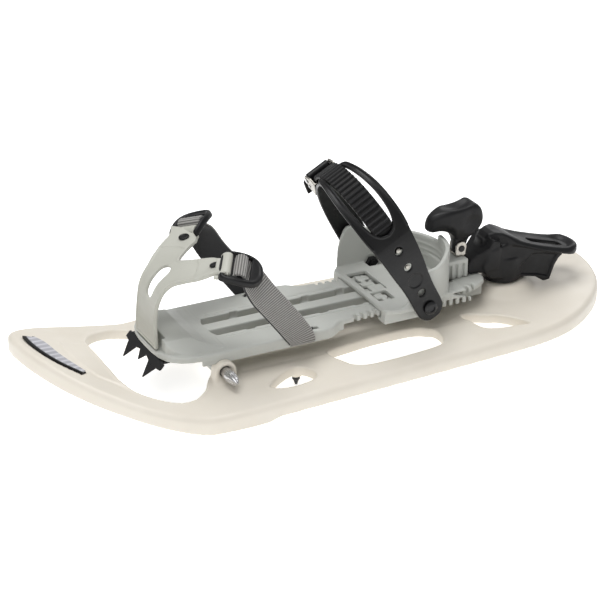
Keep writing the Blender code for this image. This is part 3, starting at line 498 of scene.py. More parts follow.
def deck_field(x, y, z):
    """Deck shell with its skirt, collared openings, axle bosses, spike bosses and badge recess."""
    outline = polygon(smooth_loop(DECK_OUTLINE), x, y)
    top = deck_height(x, y)
    slope = np.sqrt(1 + (0.36 * ramp(x, 135, 215)) ** 2)
    above = (z - top) / slope
    shell = meet(above, outline, 5.5)
    shell = cut(shell, meet(above + DECK_THICK, outline + SKIRT_WALL, 3.0))
    openings = [np.array(both_sides(smooth_line(FRONT_OPENING, 5).tolist()))]
    for control in (OVAL_HOLE, LONG_HOLE, TAIL_HOLE):
        loop = smooth_loop(control)
        openings += [loop, loop * (1, -1)]
    holes = None
    for loop in openings:
        distance = polygon(loop, x, y)
        holes = distance if holes is None else np.minimum(holes, distance)
    collar = np.maximum(np.maximum(holes - 2.6, above), -above - COLLAR_DEEP)
    shell = join(shell, collar, 1.5)
    for side in (1, -1):
        for sx, sy in SPIKES.values():
            reach = np.sqrt((x - sx) ** 2 + (y - side * sy) ** 2) - 5.2 - 0.09 * (z - 9.0)
            shell = join(shell, meet(reach, span(z, 9.0, 20.0), 0.6), 1.5)
        away = away_from(x, z, (AXLE_X, AXLE_Z))
        flank = np.maximum(np.abs(x - AXLE_X) - 10.0 - 0.10 * (AXLE_Z - z), z - AXLE_Z)
        arch = np.maximum(np.minimum(away - 10.0, flank), 19.0 - z)
        shell = join(shell, meet(arch, span(side * y, 44.6, 56.6), 1.6), 4.0)
        dish = away - 5.4 - 0.9 * np.clip(side * y - 54.2, 0, 3)
        shell = cut(shell, np.maximum(dish, 52.5 - side * y), 0.5)
        shell = cut(shell, np.maximum(away - 4.3, 40.0 - side * y))
    shell = cut(shell, holes, 1.3)
    plane, tilt = badge_plane(x)
    recess = np.maximum(badge_outline(0.9)(x, y), (plane - 1.5 - z) / tilt)
    shell = cut(shell, recess, 0.5)
    return meet(shell, skirt_low(x) - z, 1.0)


def make_deck():
    sculpt("deck_moulding", (-326, -106, 3), (262, 113, 64), 1.15, deck_field, "deck", "deck",
           ("deck",), keep=0.5)


def make_badge():
    def edging(x, y, z):
        plane, tilt = badge_plane(x)
        height = (z - plane) / tilt
        whole = badge_outline(0.0)
        base = meet(whole(x, y), span(height, -1.3, -0.2))
        front = np.maximum(whole(x, y), -whole(x + 3.0, y))
        return np.minimum(base, meet(front, span(height, -1.0, 1.3), 0.4))

    def insert(x, y, z):
        plane, tilt = badge_plane(x)
        height = (z - plane) / tilt
        plan = np.maximum(badge_outline(-0.3)(x, y), badge_outline(-0.3)(x + 3.2, y))
        return meet(plan, span(height, -0.1, 1.25), 0.7)

    low, high = (206, -50, 30), (252, 34, 62)
    sculpt("badge_edging", low, high, 0.5, edging, "black", "deck", ("toe_badge_frame",), keep=0.5)
    sculpt("badge_plate", low, high, 0.45, insert, "badge", "deck", ("toe_badge_insert",), keep=0.5)


def make_axle():
    def flute(station, angle):
        return 1 - 0.16 * ramp(abs(station), 66, 70) * abs(math.cos(2 * angle)) ** 3
    half = [(0, 4.0), (52.5, 4.0), (52.9, 4.9), (53.4, 5.2)]
    half += [(53.4 + 12 * t, 5.2) for t in (0.3, 0.6, 1.0)]
    tip = [(65.4 + 13.6 * t, 5.2 * math.sqrt(max(1 - t ** 1.8, 0.01))) for t in np.linspace(0.08, 1, 14)]
    half += tip
    profile = [(-s, r) for s, r in reversed(half[1:])] + half
    turned("axle_rod", "y", (AXLE_X, AXLE_Z), profile, "steel", "deck", ("toe_axle",), 48, flute)


def make_spikes():
    profile = [(0.0, 0.7), (0.4, 1.2), (5.0, 2.6), (5.6, 3.4), (6.0, 3.6), (8.5, 3.6), (8.7, 3.4), (8.7, 1.9),
               (14.5, 1.9)]
    for where, (x, y) in SPIKES.items():
        for side_name, side in SIDES:
            name = "%s_%s" % (where, side_name)
            turned("spike_tip_" + name, "z", (x, side * y), profile, "darksteel", "deck",
                   ("spike_" + name,), 28)


# ---------------------------------------------------------------- binding plate

PLATE_HALF = (
    (151.5, 0), (151.2, 14), (149.8, 26), (147, 34), (143, 40.5), (136, 45.5), (128, 48.6), (119, 50),
    (-3, 50), (-9, 48.5),
    (-18, 41.5), (-24, 40), (-140, 36), (-160, 33), (-171, 28), (-179, 23), (-181.5, 18),
)
PAD_HALF = ((93, 46), (116, 46.5), (130, 43), (140, 38), (145.4, 32))


def plate_field(x, y, z):
    """Plate with a raised toe pad, two long slots, comb edges, the axle barrel and two rear ears."""
    side = np.abs(y)
    plan = polygon(both_sides(PLATE_HALF), x, y)
    plate = meet(plan, span(z, 43.5, 49.5), 1.8)
    profile = ((88, 45), (90, 49.4), (97, 50.4), (106, 52.8), (113, 56.2), (119, 59.4), (124, 60.3),
               (145.4, 60.3), (145.8, 45))
    pad = meet(polygon(profile, x, z), polygon(both_sides(PAD_HALF), x, y), 1.6)
    facet = 0.659 * side + 0.752 * z - 65.5
    plate = join(plate, meet(pad, facet, 0.5), 0.6)
    pocket = block(x, side, z, (141.0, -30, 48.6), (150.4, 23.2, 70), 1.2)
    plate = cut(plate, pocket, 0.6)
    barrel = tube(x, z, side, (AXLE_X, AXLE_Z), 8.0, -1, 43.5, 0.8)
    web = slab(((92, 32), (106, 32), (114, 46), (84, 46)), x, z, side, -1, 36, 1.0)
    plate = join(plate, np.minimum(barrel, web), 2.0)
    tail = block(x, side, z, (-181.5, -20, 30.0), (-157, 17, 48.8), 1.6)
    ear = limb(x, 0 * y, z, (TAIL_PIN[0], 0, TAIL_PIN[1]), (TAIL_PIN[0], 0, 46), 5.4, 6.5)
    lug = meet(ear, span(side, -1, 6.5), 0.6)
    plate = join(plate, np.minimum(tail, lug), 1.2)
    walls = np.maximum(np.minimum(span(side, 4.2, 6.5), span(side, 18.0, 20.4)), span(x, -152, 95))
    walls = np.minimum(walls, np.maximum(span(x, 91, 96), span(side, 5, 20)))
    plate = np.minimum(plate, np.maximum(walls, span(z, 36.5, 48)))
    skirt = meet(meet(plan, -plan - 3.0), np.maximum(span(z, 38.5, 48), span(x, -24, 118)), 0.6)
    plate = join(plate, skirt, 0.8)
    slots = meet(span(side, 6.5, 18.0), span(x, -150, 94 - 0.35 * (side - 6.5)), 0.8)
    plate = cut(plate, np.maximum(slots, 35 - z), 0.5)
    for centre in (58, 22, -14, -50, -86):
        notch = np.maximum(span(x, centre - 4, centre + 4), span(side, 17.0, 19.6))
        plate = cut(plate, np.maximum(notch, 43 - z), 0.5)
    groove = np.maximum(span(side, 22.6, 24.4), span(x, -150, 84))
    plate = cut(plate, np.maximum(groove, 48.5 - z), 0.4)
    for centre in range(-36, -166, -7):
        notch = np.maximum(span(x, centre - 1.7, centre + 1.7), -4.6 - plan)
        plate = cut(plate, np.maximum(notch, 42 - z), 0.5)
    strap = np.maximum(span(side, 41.5, 45.8), span(x, 4, 36))
    plate = cut(plate, np.maximum(strap, 41 - z), 0.5)
    hinge = away_from(x, z, TAIL_PIN)
    plate = cut(plate, np.maximum(hinge - 6.2, np.maximum(6.6 - side, side - 12.6)), 0.4)
    plate = cut(plate, hinge - 2.7)
    axle = away_from(x, z, (AXLE_X, AXLE_Z)) - 4.4
    return cut(plate, axle, 0.3)


def make_plate():
    sculpt("plate_moulding", (-183, -52, 22), (153, 52, 64), 0.8, plate_field, "grey", "binding",
           ("binding_plate",), keep=0.4)


def make_crampon():
    """Folded steel claw: a flange under the plate and three teeth that lean forward."""
    teeth = (
        (-38, 42.4), (-38, 38), (-30.5, 37.2), (-22, 26.6), (-14, 37.6), (-7, 38.8), (0, 32.6), (7, 38.8),
        (14, 37.6), (22, 26.6), (30.5, 37.2), (38, 38), (38, 42.4),
    )

    def field(x, y, z):
        flange = block(x, y, z, (112, -34, 40.9), (149.8, 34, 43.0), 0.7)
        lean = x - 0.9 * (42.4 - z)
        claw = meet(polygon(teeth, y, z), span(lean, 148.0, 150.2) / 1.35, 0.5)
        holes = tube(x, np.abs(y), z, (126, 24), 3.4, 38, 46)
        return cut(join(flange, claw, 1.2), holes, 0.2)

    sculpt("crampon_claw", (110, -40, 24), (170, 40, 45), 0.5, field, "darksteel", "binding",
           ("toe_crampon",), keep=0.4)
    for name, side in SIDES:
        profile = [(38.7, 1.0), (38.8, 3.6), (39.4, 4.7), (40.4, 5.2), (40.5, 5.2), (40.5, 3.0), (43.1, 3.0)]
        turned("claw_rivet_" + name, "z", (126, side * 24), profile, "steel", "binding",
               ("crampon_rivet_" + name,), 28)


# ---------------------------------------------------------------- harness

HARNESS_PROFILE = (
    (148.2, 49.5), (148.4, 60), (148.0, 72), (146.8, 84), (144.6, 94), (140.5, 102), (134, 108.5),
    (126, 113.5), (116.5, 117.6), (106, 120.3), (96, 122.6), (86, 125), (76, 127.4),
)
STEM_EDGE = ((50.5, 22), (60, 21.6), (72, 20.4), (84, 20), (93, 21))
ARM_OUTER = (
    (139.5, 22.5), (133.5, 25.5), (128.7, 30), (123, 34.5), (118, 38.8), (112, 43), (106, 46.5), (102, 51),
    (99.6, 56), (97.5, 60.5),
)
ARM_INNER = (
    (86.5, 41), (86.8, 33), (88.5, 25.5), (92.5, 19.6), (98, 15.6), (105, 10.8), (111.5, 5.4), (115, 1.8),
    (116, 0),
)
HARNESS_HOLE = ((143.6, 0), (131.5, 0))
RIVET_SPOT = (96.5, 33.4)


def harness_curve():
    """Side curve of the harness sheet with its arc length."""
    line = smooth_line(HARNESS_PROFILE, 8)
    step = np.linalg.norm(np.diff(line, axis=0), axis=1)
    return np.concatenate([[0], np.cumsum(step)]), line


def stem_station(z):
    arc, line = harness_curve()
    return float(np.interp(z, line[:, 1], arc))


def arm_station(x):
    arc, line = harness_curve()
    return float(np.interp(-x, -line[20:, 0], arc[20:]))


def harness_warp(points):
    """Takes (arc length, y, outward) to the bent sheet."""
    arc, line = harness_curve()
    slope = np.gradient(line, axis=0)
    slope /= np.linalg.norm(slope, axis=1)[:, None]
    t, y, n = points[:, 0], points[:, 1], points[:, 2]
    x, z, tx, tz = (np.interp(t, arc, k) for k in (line[:, 0], line[:, 1], slope[:, 0], slope[:, 1]))
    side = np.abs(y)
    raised = np.where(y > 0, 5.0, 2.2) * ramp(side, 30, 54) * ramp(-x, -125, -100)
    lift = raised - 1.6 * ramp(side, 14, 34) * ramp(-x, -140, -110)
    return np.stack([x + tz * n, y, z - tx * n + lift], axis=1)


def make_harness():
    edge = [(stem_station(z), y) for z, y in STEM_EDGE] + [(arm_station(x), y) for x, y in ARM_OUTER]
    inner = [(arm_station(x), y) for x, y in ARM_INNER]
    half = np.concatenate([smooth_line(edge, 4), smooth_line(inner, 4)])
    whole = mirrored(half)
    ends = [arm_station(x) for x, y in HARNESS_HOLE]
    rivet_at = arm_station(RIVET_SPOT[0])
    step_line = [(arm_station(x), y) for x,
                 y in ((105.2, 6), (104.6, 11), (106.5, 20), (112.9, 29.5), (118, 36))]
    beyond = step_line + [(arm_station(110), 62), (arm_station(80), 62), (arm_station(80), 6)]

    def field(t, y, n):
        side = np.abs(y)
        plan = polygon(whole, t, y)
        sheet = meet(plan, span(n, -1.6, 1.6), 1.3)
        raised = meet(meet(polygon(beyond, t, side), plan + 1.0), span(n, 0, 2.5), 0.7)
        sheet = join(sheet, raised, 0.3)
        rim = meet(meet(plan, -plan - 2.6), span(n, 0, 2.2), 0.6)
        sheet = join(sheet, rim, 0.5)
        slot = limb(t, y, 0 * n, (ends[0], 0, 0), (ends[1], 0, 0), 6.6, 7.6)
        away = np.sqrt((t - rivet_at) ** 2 + (side - RIVET_SPOT[1]) ** 2)
        return cut(cut(sheet, slot, 0.8), away - 2.5, 0.3)

    last = arm_station(84)
    sculpt("harness_moulding", (0, -63, -2), (last, 63, 3), 0.6, field, "harness", "binding",
           ("toe_harness",), warp=harness_warp, keep=0.4)
    for name, side in SIDES:
        y = side * RIVET_SPOT[1]
        shifts = ((4, 0), (-4, 0), (0, 4), (0, -4))
        around = harness_warp(np.array([[rivet_at + ds, y + dy, 0] for ds, dy in shifts]))
        normal = np.cross(around[1] - around[0], around[3] - around[2])
        normal *= np.sign(normal[2]) / np.linalg.norm(normal)
        turn = facing(around.mean(axis=0) + 0.7 * normal, normal)
        profile = [(-3.6, 1.0), (-3.2, 3.2), (-2.4, 4.2), (-2.2, 2.2), (2.5, 2.2), (2.6, 4.9), (3.2, 4.7),
                   (3.5, 3.4),
                   (3.2, 2.8), (3.2, 0.6)]
        turned("harness_button_" + name, "z", (0, 0), profile, "rivet", "binding",
               ("harness_rivet_" + name,), 32, turn=turn)


def facing(place, way):
    """Turn and shift that points +Z along way."""
    way = Vector(way).normalized()
    return Matrix.Translation(Vector(place)) @ Vector((0, 0, 1)).rotation_difference(way).to_matrix().to_4x4()


# ---------------------------------------------------------------- buckles and toe straps

# Buckle frame: origin at the webbing bar of the left buckle; along the strap, along the bar, and up.
BUCKLE_AT = np.array((82.4, 52.6, 126.2))
BUCKLE_ALONG = np.array((-0.861, 0.407, -0.302))
BUCKLE_BAR = np.array((0.497, 0.798, -0.340))
BUCKLE_UP = np.array((-0.103, 0.443, 0.890))
RIGHT_BUCKLE_TURN = 34.0
RIGHT_BUCKLE_AT = np.array((80.6, 53.9, 126.4))


def buckle_warp(side):
    """The right buckle lies turned about its bar, and sits a little differently."""
    turn = math.radians(RIGHT_BUCKLE_TURN) if side < 0 else 0.0
    along = BUCKLE_ALONG * math.cos(turn) + BUCKLE_UP * math.sin(turn)
    up = BUCKLE_UP * math.cos(turn) - BUCKLE_ALONG * math.sin(turn)
    place = RIGHT_BUCKLE_AT if side < 0 else BUCKLE_AT

    def warp(points):
        l, b, n = points[:, 0:1], points[:, 1:2], points[:, 2:3]
        bow = n - 0.009 * (l - 1) ** 2
        return (place + along * l + BUCKLE_BAR * b + up * bow) * (1, side, 1)
    return warp


BUCKLE_OUTLINE = (
    (-17, 10), (-16, 16), (-10, 18.4), (0, 19.2), (8, 18.2), (15, 14.5), (19.4, 7), (20.4, 0), (19.2, -7.5),
    (14.5, -13.2),
    (7, -15.6), (-2, -16), (-12, -15.4), (-16.6, -12.5), (-17.4, 0),
)


def make_buckles():
    outline = smooth_loop(BUCKLE_OUTLINE, 4)

    def frame_field(l, b, n):
        plan = polygon(outline, l, b)
        body = meet(plan, span(n, -2.6, 2.4), 2.0)
        rim = meet(meet(plan, -plan - 3.6), span(n, -3.0, 3.6), 1.6)
        body = join(body, rim, 1.0)
        windows = block(l, b, n, (-11.2, -12.9, -9), (-4.6, 12.9, 9), 0.8)
        windows = np.minimum(windows, block(l, b, n, (3.0, -12.9, -9), (9.0, 12.9, 9), 0.8))
        body = cut(body, windows, 0.8)
        thin = block(l, b, n, (-14.5, -12.9, 0.2), (3.2, 12.9, 9), 0.4)
        return cut(body, thin, 0.5)

    def arm_roll(l, b, n):
        ring = np.sqrt(((l + 12.6) / 1.1) ** 2 + (n - 0.6) ** 2)
        roll = meet(ring - 4.4, span(b, -12.2, 12.2), 1.0)
        tail = block(l, b, n, (-20.0, -12.0, -6.4), (-12.0, 12.0, -3.2), 0.8)
        return join(cut(roll, ring - 2.2), tail, 1.5)

    def web_roll(l, b, n):
        angle = np.arctan2(n - 0.4, l)
        ring = np.sqrt((l / 1.16) ** 2 + (n - 0.4) ** 2)
        roll = meet(ring - 4.8 - 0.16 * np.cos(13 * angle), span(b, -12.3, 12.3), 0.7)
        return cut(roll, ring - 2.3)

    # Painted shade for the webbing roll: 1 in the grooves between its ribs, 0 on their crests.
    def web_roll_groove_shade(points):
        angle = np.arctan2(points[:, 2] - 0.4, points[:, 0])
        return 0.5 - 0.5 * np.cos(13 * angle)

    low, high = (-21, -17, -7), (21.5, 20.5, 6.5)
    for name, side in SIDES:
        warp = buckle_warp(side)
        sculpt("buckle_frame_" + name, low, high, 0.6, frame_field, "black", "binding",
               ("toe_buckle_" + name,), warp=warp, keep=0.5)
        sculpt("harness_end_" + name, (-21, -13, -7), (-6, 13, 6), 0.55, arm_roll, "harness", "binding",
               ("toe_harness",), warp=warp, keep=0.5)
        sculpt("webbing_end_" + name, (-7, -13, -6), (7, 13, 6.5), 0.4, web_roll, "webbing", "binding",
               ("toe_strap_" + name,), warp=warp, keep=0.6, paint=web_roll_groove_shade)


STRAP_ROUTE = (
    (82.6, 50.0, 127.6), (76.5, 51.6, 121.6), (70.5, 52.6, 112.5), (61, 54.2, 97), (50, 55.0, 82.5),
    (38, 54.8, 66.5), (29.5, 54.0, 54.5),
    (25, 53.2, 47.5), (23, 51.4, 41.9), (22.2, 47.6, 40.4), (21.4, 44.2, 42.0), (21, 43.8, 46),
    (21, 43.5, 50.5),
)
STRAP_ACROSS = (
    (0.497, 0.798, -0.34), (0.56, 0.70, -0.44), (0.74, 0.36, -0.56), (0.85, 0.1, -0.52), (0.88, 0.0, -0.47),
    (0.90, 0, -0.43), (0.93, 0, -0.36),
    (0.98, 0, -0.2), (1, 0, 0), (1, 0, 0), (1, 0, 0), (1, 0, 0), (1, 0, 0),
)


def band_warp(path, across, outward):
    """Takes (arc length, across, outward) to a bent band; outward is a rough direction for its face."""
    path, across = np.array(path, float), np.array(across, float)
    step = np.linalg.norm(np.diff(path, axis=0), axis=1)
    arc = np.concatenate([[0], np.cumsum(step)])
    tangent = np.gradient(path, axis=0)
    face = np.cross(tangent, across)
    face /= np.linalg.norm(face, axis=1)[:, None]
    if face[0] @ np.array(outward) < 0:
        face = -face

    def warp(points):
        u = points[:, 0]
        rows = (path, across, face)
        place, wide, out = (np.stack([np.interp(u, arc, k[:, i]) for i in range(3)], axis=1) for k in rows)
        return place + wide * points[:, 1:2] + out * points[:, 2:3]
    return warp, arc


def make_toe_straps():
    route = smooth_line(STRAP_ROUTE, 6)
    across = smooth_line(STRAP_ACROSS, 6)
    across /= np.linalg.norm(across, axis=1)[:, None]
    pitch = 2.1

    def outer(u, v, w):
        rib = 0.17 * np.cos(2 * math.pi * u / pitch)
        edge = 0.25 * ramp(np.abs(v), 10.6, 11.8)
        return meet(span(v, -12.4, 12.4) + 0 * u, span(w, 0.05, 1.35 + rib - edge), 0.5)

    def inner(u, v, w):
        return meet(span(v, -11.6, 13.5) + 0 * u, span(w, -1.5, -0.02), 0.5)

    # Painted shade for the webbing: 1 in the grooves between the ribs of the top face, 0 on their crests, and
    # a fixed 0.2 off the top face.
    def ribs(points):
        face = (points[:, 2] > 0.7) & (np.abs(points[:, 1]) < 12.0)
        return np.where(face, 0.5 - 0.5 * np.cos(2 * math.pi * points[:, 0] / pitch), 0.2)

    for name, side in SIDES:
        flip = np.array((1, side, 1))
        warp, arc = band_warp(route * flip, across * flip, (0.2, side, 0.6))
        length = arc[-1]
        sculpt("webbing_outer_" + name, (0, -12.6, -0.2), (length, 12.6, 1.6), 0.42, outer, "webbing",
               "binding",
               ("toe_strap_" + name,), warp=warp, keep=0.5, paint=ribs)
        sculpt("webbing_inner_" + name, (4, -12.6, -1.7), (length, 13.7, 0.2), 0.5, inner, "lining",
               "binding",
               ("toe_strap_" + name,), warp=warp, keep=0.5)


# ---------------------------------------------------------------- heel unit

COLUMN_X = (-167.6, -140.0)
RIB_PITCH = 5.6


def cup_top(x):
    """Height of the heel cup's rim: highest behind the heel, lower at the sides."""
    return 85.0 + 6.5 * ramp(-x, 112, 136)


def heel_field(x, y, z):
    """Cup with a ribbed inside, a floor with a window, side skirts, and the column of the lock bolt."""
    side = np.abs(y)
    half = ((-59, 47), (-61, 49.6), (-66, 53), (-74, 55), (-91, 55.6))
    turn = [math.radians(90 + 90 * i / 10) for i in range(1, 10)]
    half += tuple((CUP_X + CUP_RADIUS * math.cos(a), CUP_RADIUS * math.sin(a)) for a in turn) + ((-146, 0),)
    plan = polygon(both_sides(half), x, y)
    inner_radius = CUP_RADIUS - CUP_WALL
    well = np.where(x < CUP_X, np.sqrt((x - CUP_X) ** 2 + y ** 2) - inner_radius, side - inner_radius)
    floor = meet(plan, span(z, 50, 54), 0.8)
    ribs = np.clip(np.cos(2 * math.pi * ((z - 60.0) / RIB_PITCH)), 0, 1)
    rib = 0.55 * ribs * ramp(-x, 92, 108) * ramp(z, 60, 62) * ramp(-z, -84, -80)
    walls = np.maximum(plan, -(well + 0.1 + rib))
    # Side views of the two wings: the near one slopes down, the far one stands up to its front end.
    near = ((-200, 50), (-200, 95), (-97, 95), (-96, 84), (-88, 72), (-84, 61), (-75, 53.5), (-70, 50))
    far = ((-200, 50), (-200, 96), (-80, 96), (-76, 93.2), (-72, 90), (-68, 82.5), (-64.6, 71), (-63.4, 57),
           (-63, 50))
    reach = np.where(y > 0, polygon(near, x, z), polygon(far, x, z))
    top = z - cup_top(x)
    far_top = z - (93.0 - 8.0 * ramp(-x, 76, 112))
    top = np.where(y < 0, np.maximum(far_top, np.where(x < -112, top, -99.0)), top)
    walls = meet(meet(walls, reach, 0.8), np.maximum(top, 50 - z), 1.0)
    unit = join(floor, walls, 1.5)
    skirt = meet(meet(span(side, 41.4, 50.0), span(x, -113, -60)), span(z, 42.0, 51.5), 1.2)
    hook = meet(span(side, 36.0, 50.0), np.maximum(span(x, -113, -60), span(z, 39.6, 42.7)), 0.8)
    unit = join(unit, join(skirt, hook, 1.0), 0.6)
    column = block(x, y, z, (COLUMN_X[0], -13.5, 49.9), (COLUMN_X[1], 13.5, 68.2), 0.7)
    unit = join(unit, column, 0.8)
    for station in (-162.5, -155.5, -149.0):
        groove = np.maximum(span(x, station - 1.3, station + 1.3), np.maximum(11.4 - side, z - 64.0))
        unit = cut(unit, groove, 0.6)
    guard = meet(span(side, 37.4, 40.2), span(x, -156, -112))
    guard = meet(guard, span(z, 38.6, 58.0 - 0.35 * (-112 - x)), 0.6)
    ledge = meet(meet(span(side, 20, 40.2), span(x, -150, -112)), span(z, 49.9, 52.0), 0.6)
    unit = join(unit, join(guard, ledge, 0.5), 0.8)
    for station in (-124, -131, -138, -145, -152):
        gap = np.maximum(span(x, station - 1.6, station + 1.6), np.maximum(36 - side, z - 44.5))
        unit = cut(unit, gap, 0.4)
    window = block(x, y, z, (-84.5, -34, 45), (-65.0, 8, 60), 0.8)
    window = np.minimum(window, block(x, y, z, (-81, 12.0, 45), (-65.0, 30, 60), 0.8))
    unit = cut(unit, window, 0.6)
    mark = block(x, y, z, (-112, -36, 52.6), (-105.5, -31, 60), 0.6)
    unit = cut(unit, mark, 0.4)
    channel = np.maximum(span(side, -1, 7.0), span(z, 45, 52.8))
    unit = cut(unit, np.maximum(channel, span(x, -170, -84)))
    bore = np.sqrt((x - LEVER_PIN[0]) ** 2 + y ** 2) - 3.4
    pivot = away_from(x, z, STRAP_PIVOT)
    unit = cut(unit, bore, 0.3)
    unit = cut(unit, np.maximum(pivot - STRAP_BORE, 44 - side), 0.3)
    return cut(unit, np.maximum(pivot - 6.9, span(side, 40.0, 51.0)), 0.3)


def make_heel_unit():
    sculpt("heel_moulding", (-168, -57, 39), (-58, 57, 94), 0.8, heel_field, "grey", "heel_unit",
           ("heel_cup",), keep=0.4)

    def block_field(x, y, z):
        side = np.abs(y)
        bar = block(x, y, z, (-76.5, -31, 49.9), (-71.5, 28, 52.0), 0.5)
        posts = block(x, y, z, (-81, -27, 49.9), (-70, -19, 52.6), 0.6)
        posts = np.minimum(posts, block(x, y, z, (-80, -13, 49.9), (-67.5, -6, 53.0), 0.6))
        posts = np.minimum(posts, block(x, y, z, (-78, 17, 49.9), (-67, 23, 52.6), 0.6))
        bar = join(bar, posts, 0.6)
        teeth = block(x, side, z, (-76, 8.0, 45.2), (-68, 16.5, 51.5), 0.6)
        tie = block(x, y, z, (-161, -5.8, 49.9), (-76, 5.8, 52.4), 0.4)
        foot = block(x, y, z, (-167, -5, 49.9), (-158, 5, 52.4), 0.4)
        return join(np.minimum(bar, teeth), np.minimum(tie, foot), 0.5)

    sculpt("lock_slider", (-168, -32, 44), (-66, 32, 56), 0.7, block_field, "grey", "lock_bolt",
           ("lock_block",), keep=0.4)


def make_lock_lever():
    x0, z0 = LEVER_PIN
    side_view = (
        (-128.6, 103), (-129.6, 98.8), (-134, 96.6), (-141, 96.2), (-148.5, 94.6), (-154.6, 90.5),
        (-157.6, 83), (-157.4, 74.5),
        (-160, 70.8), (-166.5, 70.6), (-169.6, 75), (-171.5, 82.5), (-177, 89), (-182, 96), (-184.6, 104),
        (-183.2, 112.5),
        (-178.8, 118.4), (-173, 120.6), (-166, 119.2), (-157, 117.9), (-145, 116.9), (-135.5, 114),
        (-130.5, 109.5),
    )
    outline = smooth_loop(side_view, 3)

    def field(x, y, z):
        side = np.abs(y)
        nose = 5.2 + 5.5 * ramp(-x, 128, 150)
        horn = 11.8 * ramp(-x, 150, 176)
        wide = np.maximum(nose, horn) * ramp(z, 76, 100) + 4.2 * ramp(-z, -100, -76)
        body = meet(polygon(outline, x, z), side - wide, 4.6)
        seat = ball(x, side, z, (-160, 0, 127.5), (17, 9, 12.5))
        body = cut(body, seat, 5.0)
        under = ball(x, side, z, (-141.5, 11.5, 93), (14, 7.5, 10))
        body = cut(body, under, 2.5)
        hollow = ball(x, side, z, (-172, 14.5, 99), (9, 6, 11))
        body = cut(body, hollow, 3.0)
        neck = meet(limb(x, 0 * y, z, (x0, 0, z0), (-166, 0, 92), 5.6, 7.5), side - 4.1, 1.0)
        body = join(np.maximum(body, np.where(z < 86, side - 4.1, -9.0)), neck, 2.0)
        return cut(body, away_from(x, z, LEVER_PIN) - 2.3)

    sculpt("thumb_lever", (-186, -13, 69), (-127, 13, 122), 0.6, field, "black", "lock_lever",
           ("lock_lever",), keep=0.4)

    def eye_field(x, y, z):
        side = np.abs(y)
        loop = limb(x, 0 * y, z, (x0, 0, z0 + 1.4), (x0 + 0.6, 0, z0 - 4.0), 5.6, 5.2)
        cheek = meet(loop, span(side, 4.4, 6.6), 0.5)
        bridge = block(x, y, z, (x0 - 4.6, -6.6, 69.2), (x0 + 5.4, 6.6, 71.2), 0.6)
        clevis = join(cheek, bridge, 0.6)
        shank = tube(x, y, z, (x0, 0), 2.6, 53, 70.5)
        collar = tube(x, y, z, (x0, 0), 4.2, 68.9, 70.2, 0.3)
        clevis = np.minimum(join(clevis, collar, 0.4), shank)
        return cut(clevis, np.maximum(away_from(x, z, LEVER_PIN) - 2.4, 4 - side), 0.3)

    sculpt("bolt_eye", (-171, -7.5, 52), (-157, 7.5, 84), 0.4, eye_field, "nickel", "lock_bolt",
           ("eye_bolt",), keep=0.5)
    profile = [(-7.6, 1.2), (-7.4, 2.9), (-6.9, 3.2), (-6.8, 2.0), (6.8, 2.0), (6.9, 3.2), (7.4, 2.9),
               (7.6, 1.2)]
    turned("bolt_pin", "y", LEVER_PIN, profile, "darksteel", "lock_bolt", ("lock_lever_pin",), 28)


# ---------------------------------------------------------------- ankle strap


def leaning(s, y):
    """Place in the strap's leaning plane, s along it from the pivot."""
    return (STRAP_PIVOT[0] + s * math.sin(LEAN), y, STRAP_PIVOT[1] + s * math.cos(LEAN))


def loop_place(angle, offset=0.0):
    """Point of the loop over the ankle; 0 degrees is on the left leg and 180 on the right."""
    a = np.radians(angle)
    s = LOOP_STRAIGHT + (LOOP_RISE + offset) * np.sin(a)
    return leaning(s, (LOOP_HALF + offset) * math.cos(a))


def leg_place(s, side, offset=0.0):
    """Point of the straight leg on one side."""
    return leaning(s, side * (LOOP_HALF + offset))


ACROSS = (math.cos(LEAN), 0.0, -math.sin(LEAN))
LIFT = 5.2
LEG_STATIONS = [-18.0 + 3.0 * i for i in range(21)]
STRAP_BORE = 3.3


def leg_station(arc):
    """Gives the arc length at a distance s up the leg."""
    return lambda s: float(np.interp(s, LEG_STATIONS, arc[:len(LEG_STATIONS)]))


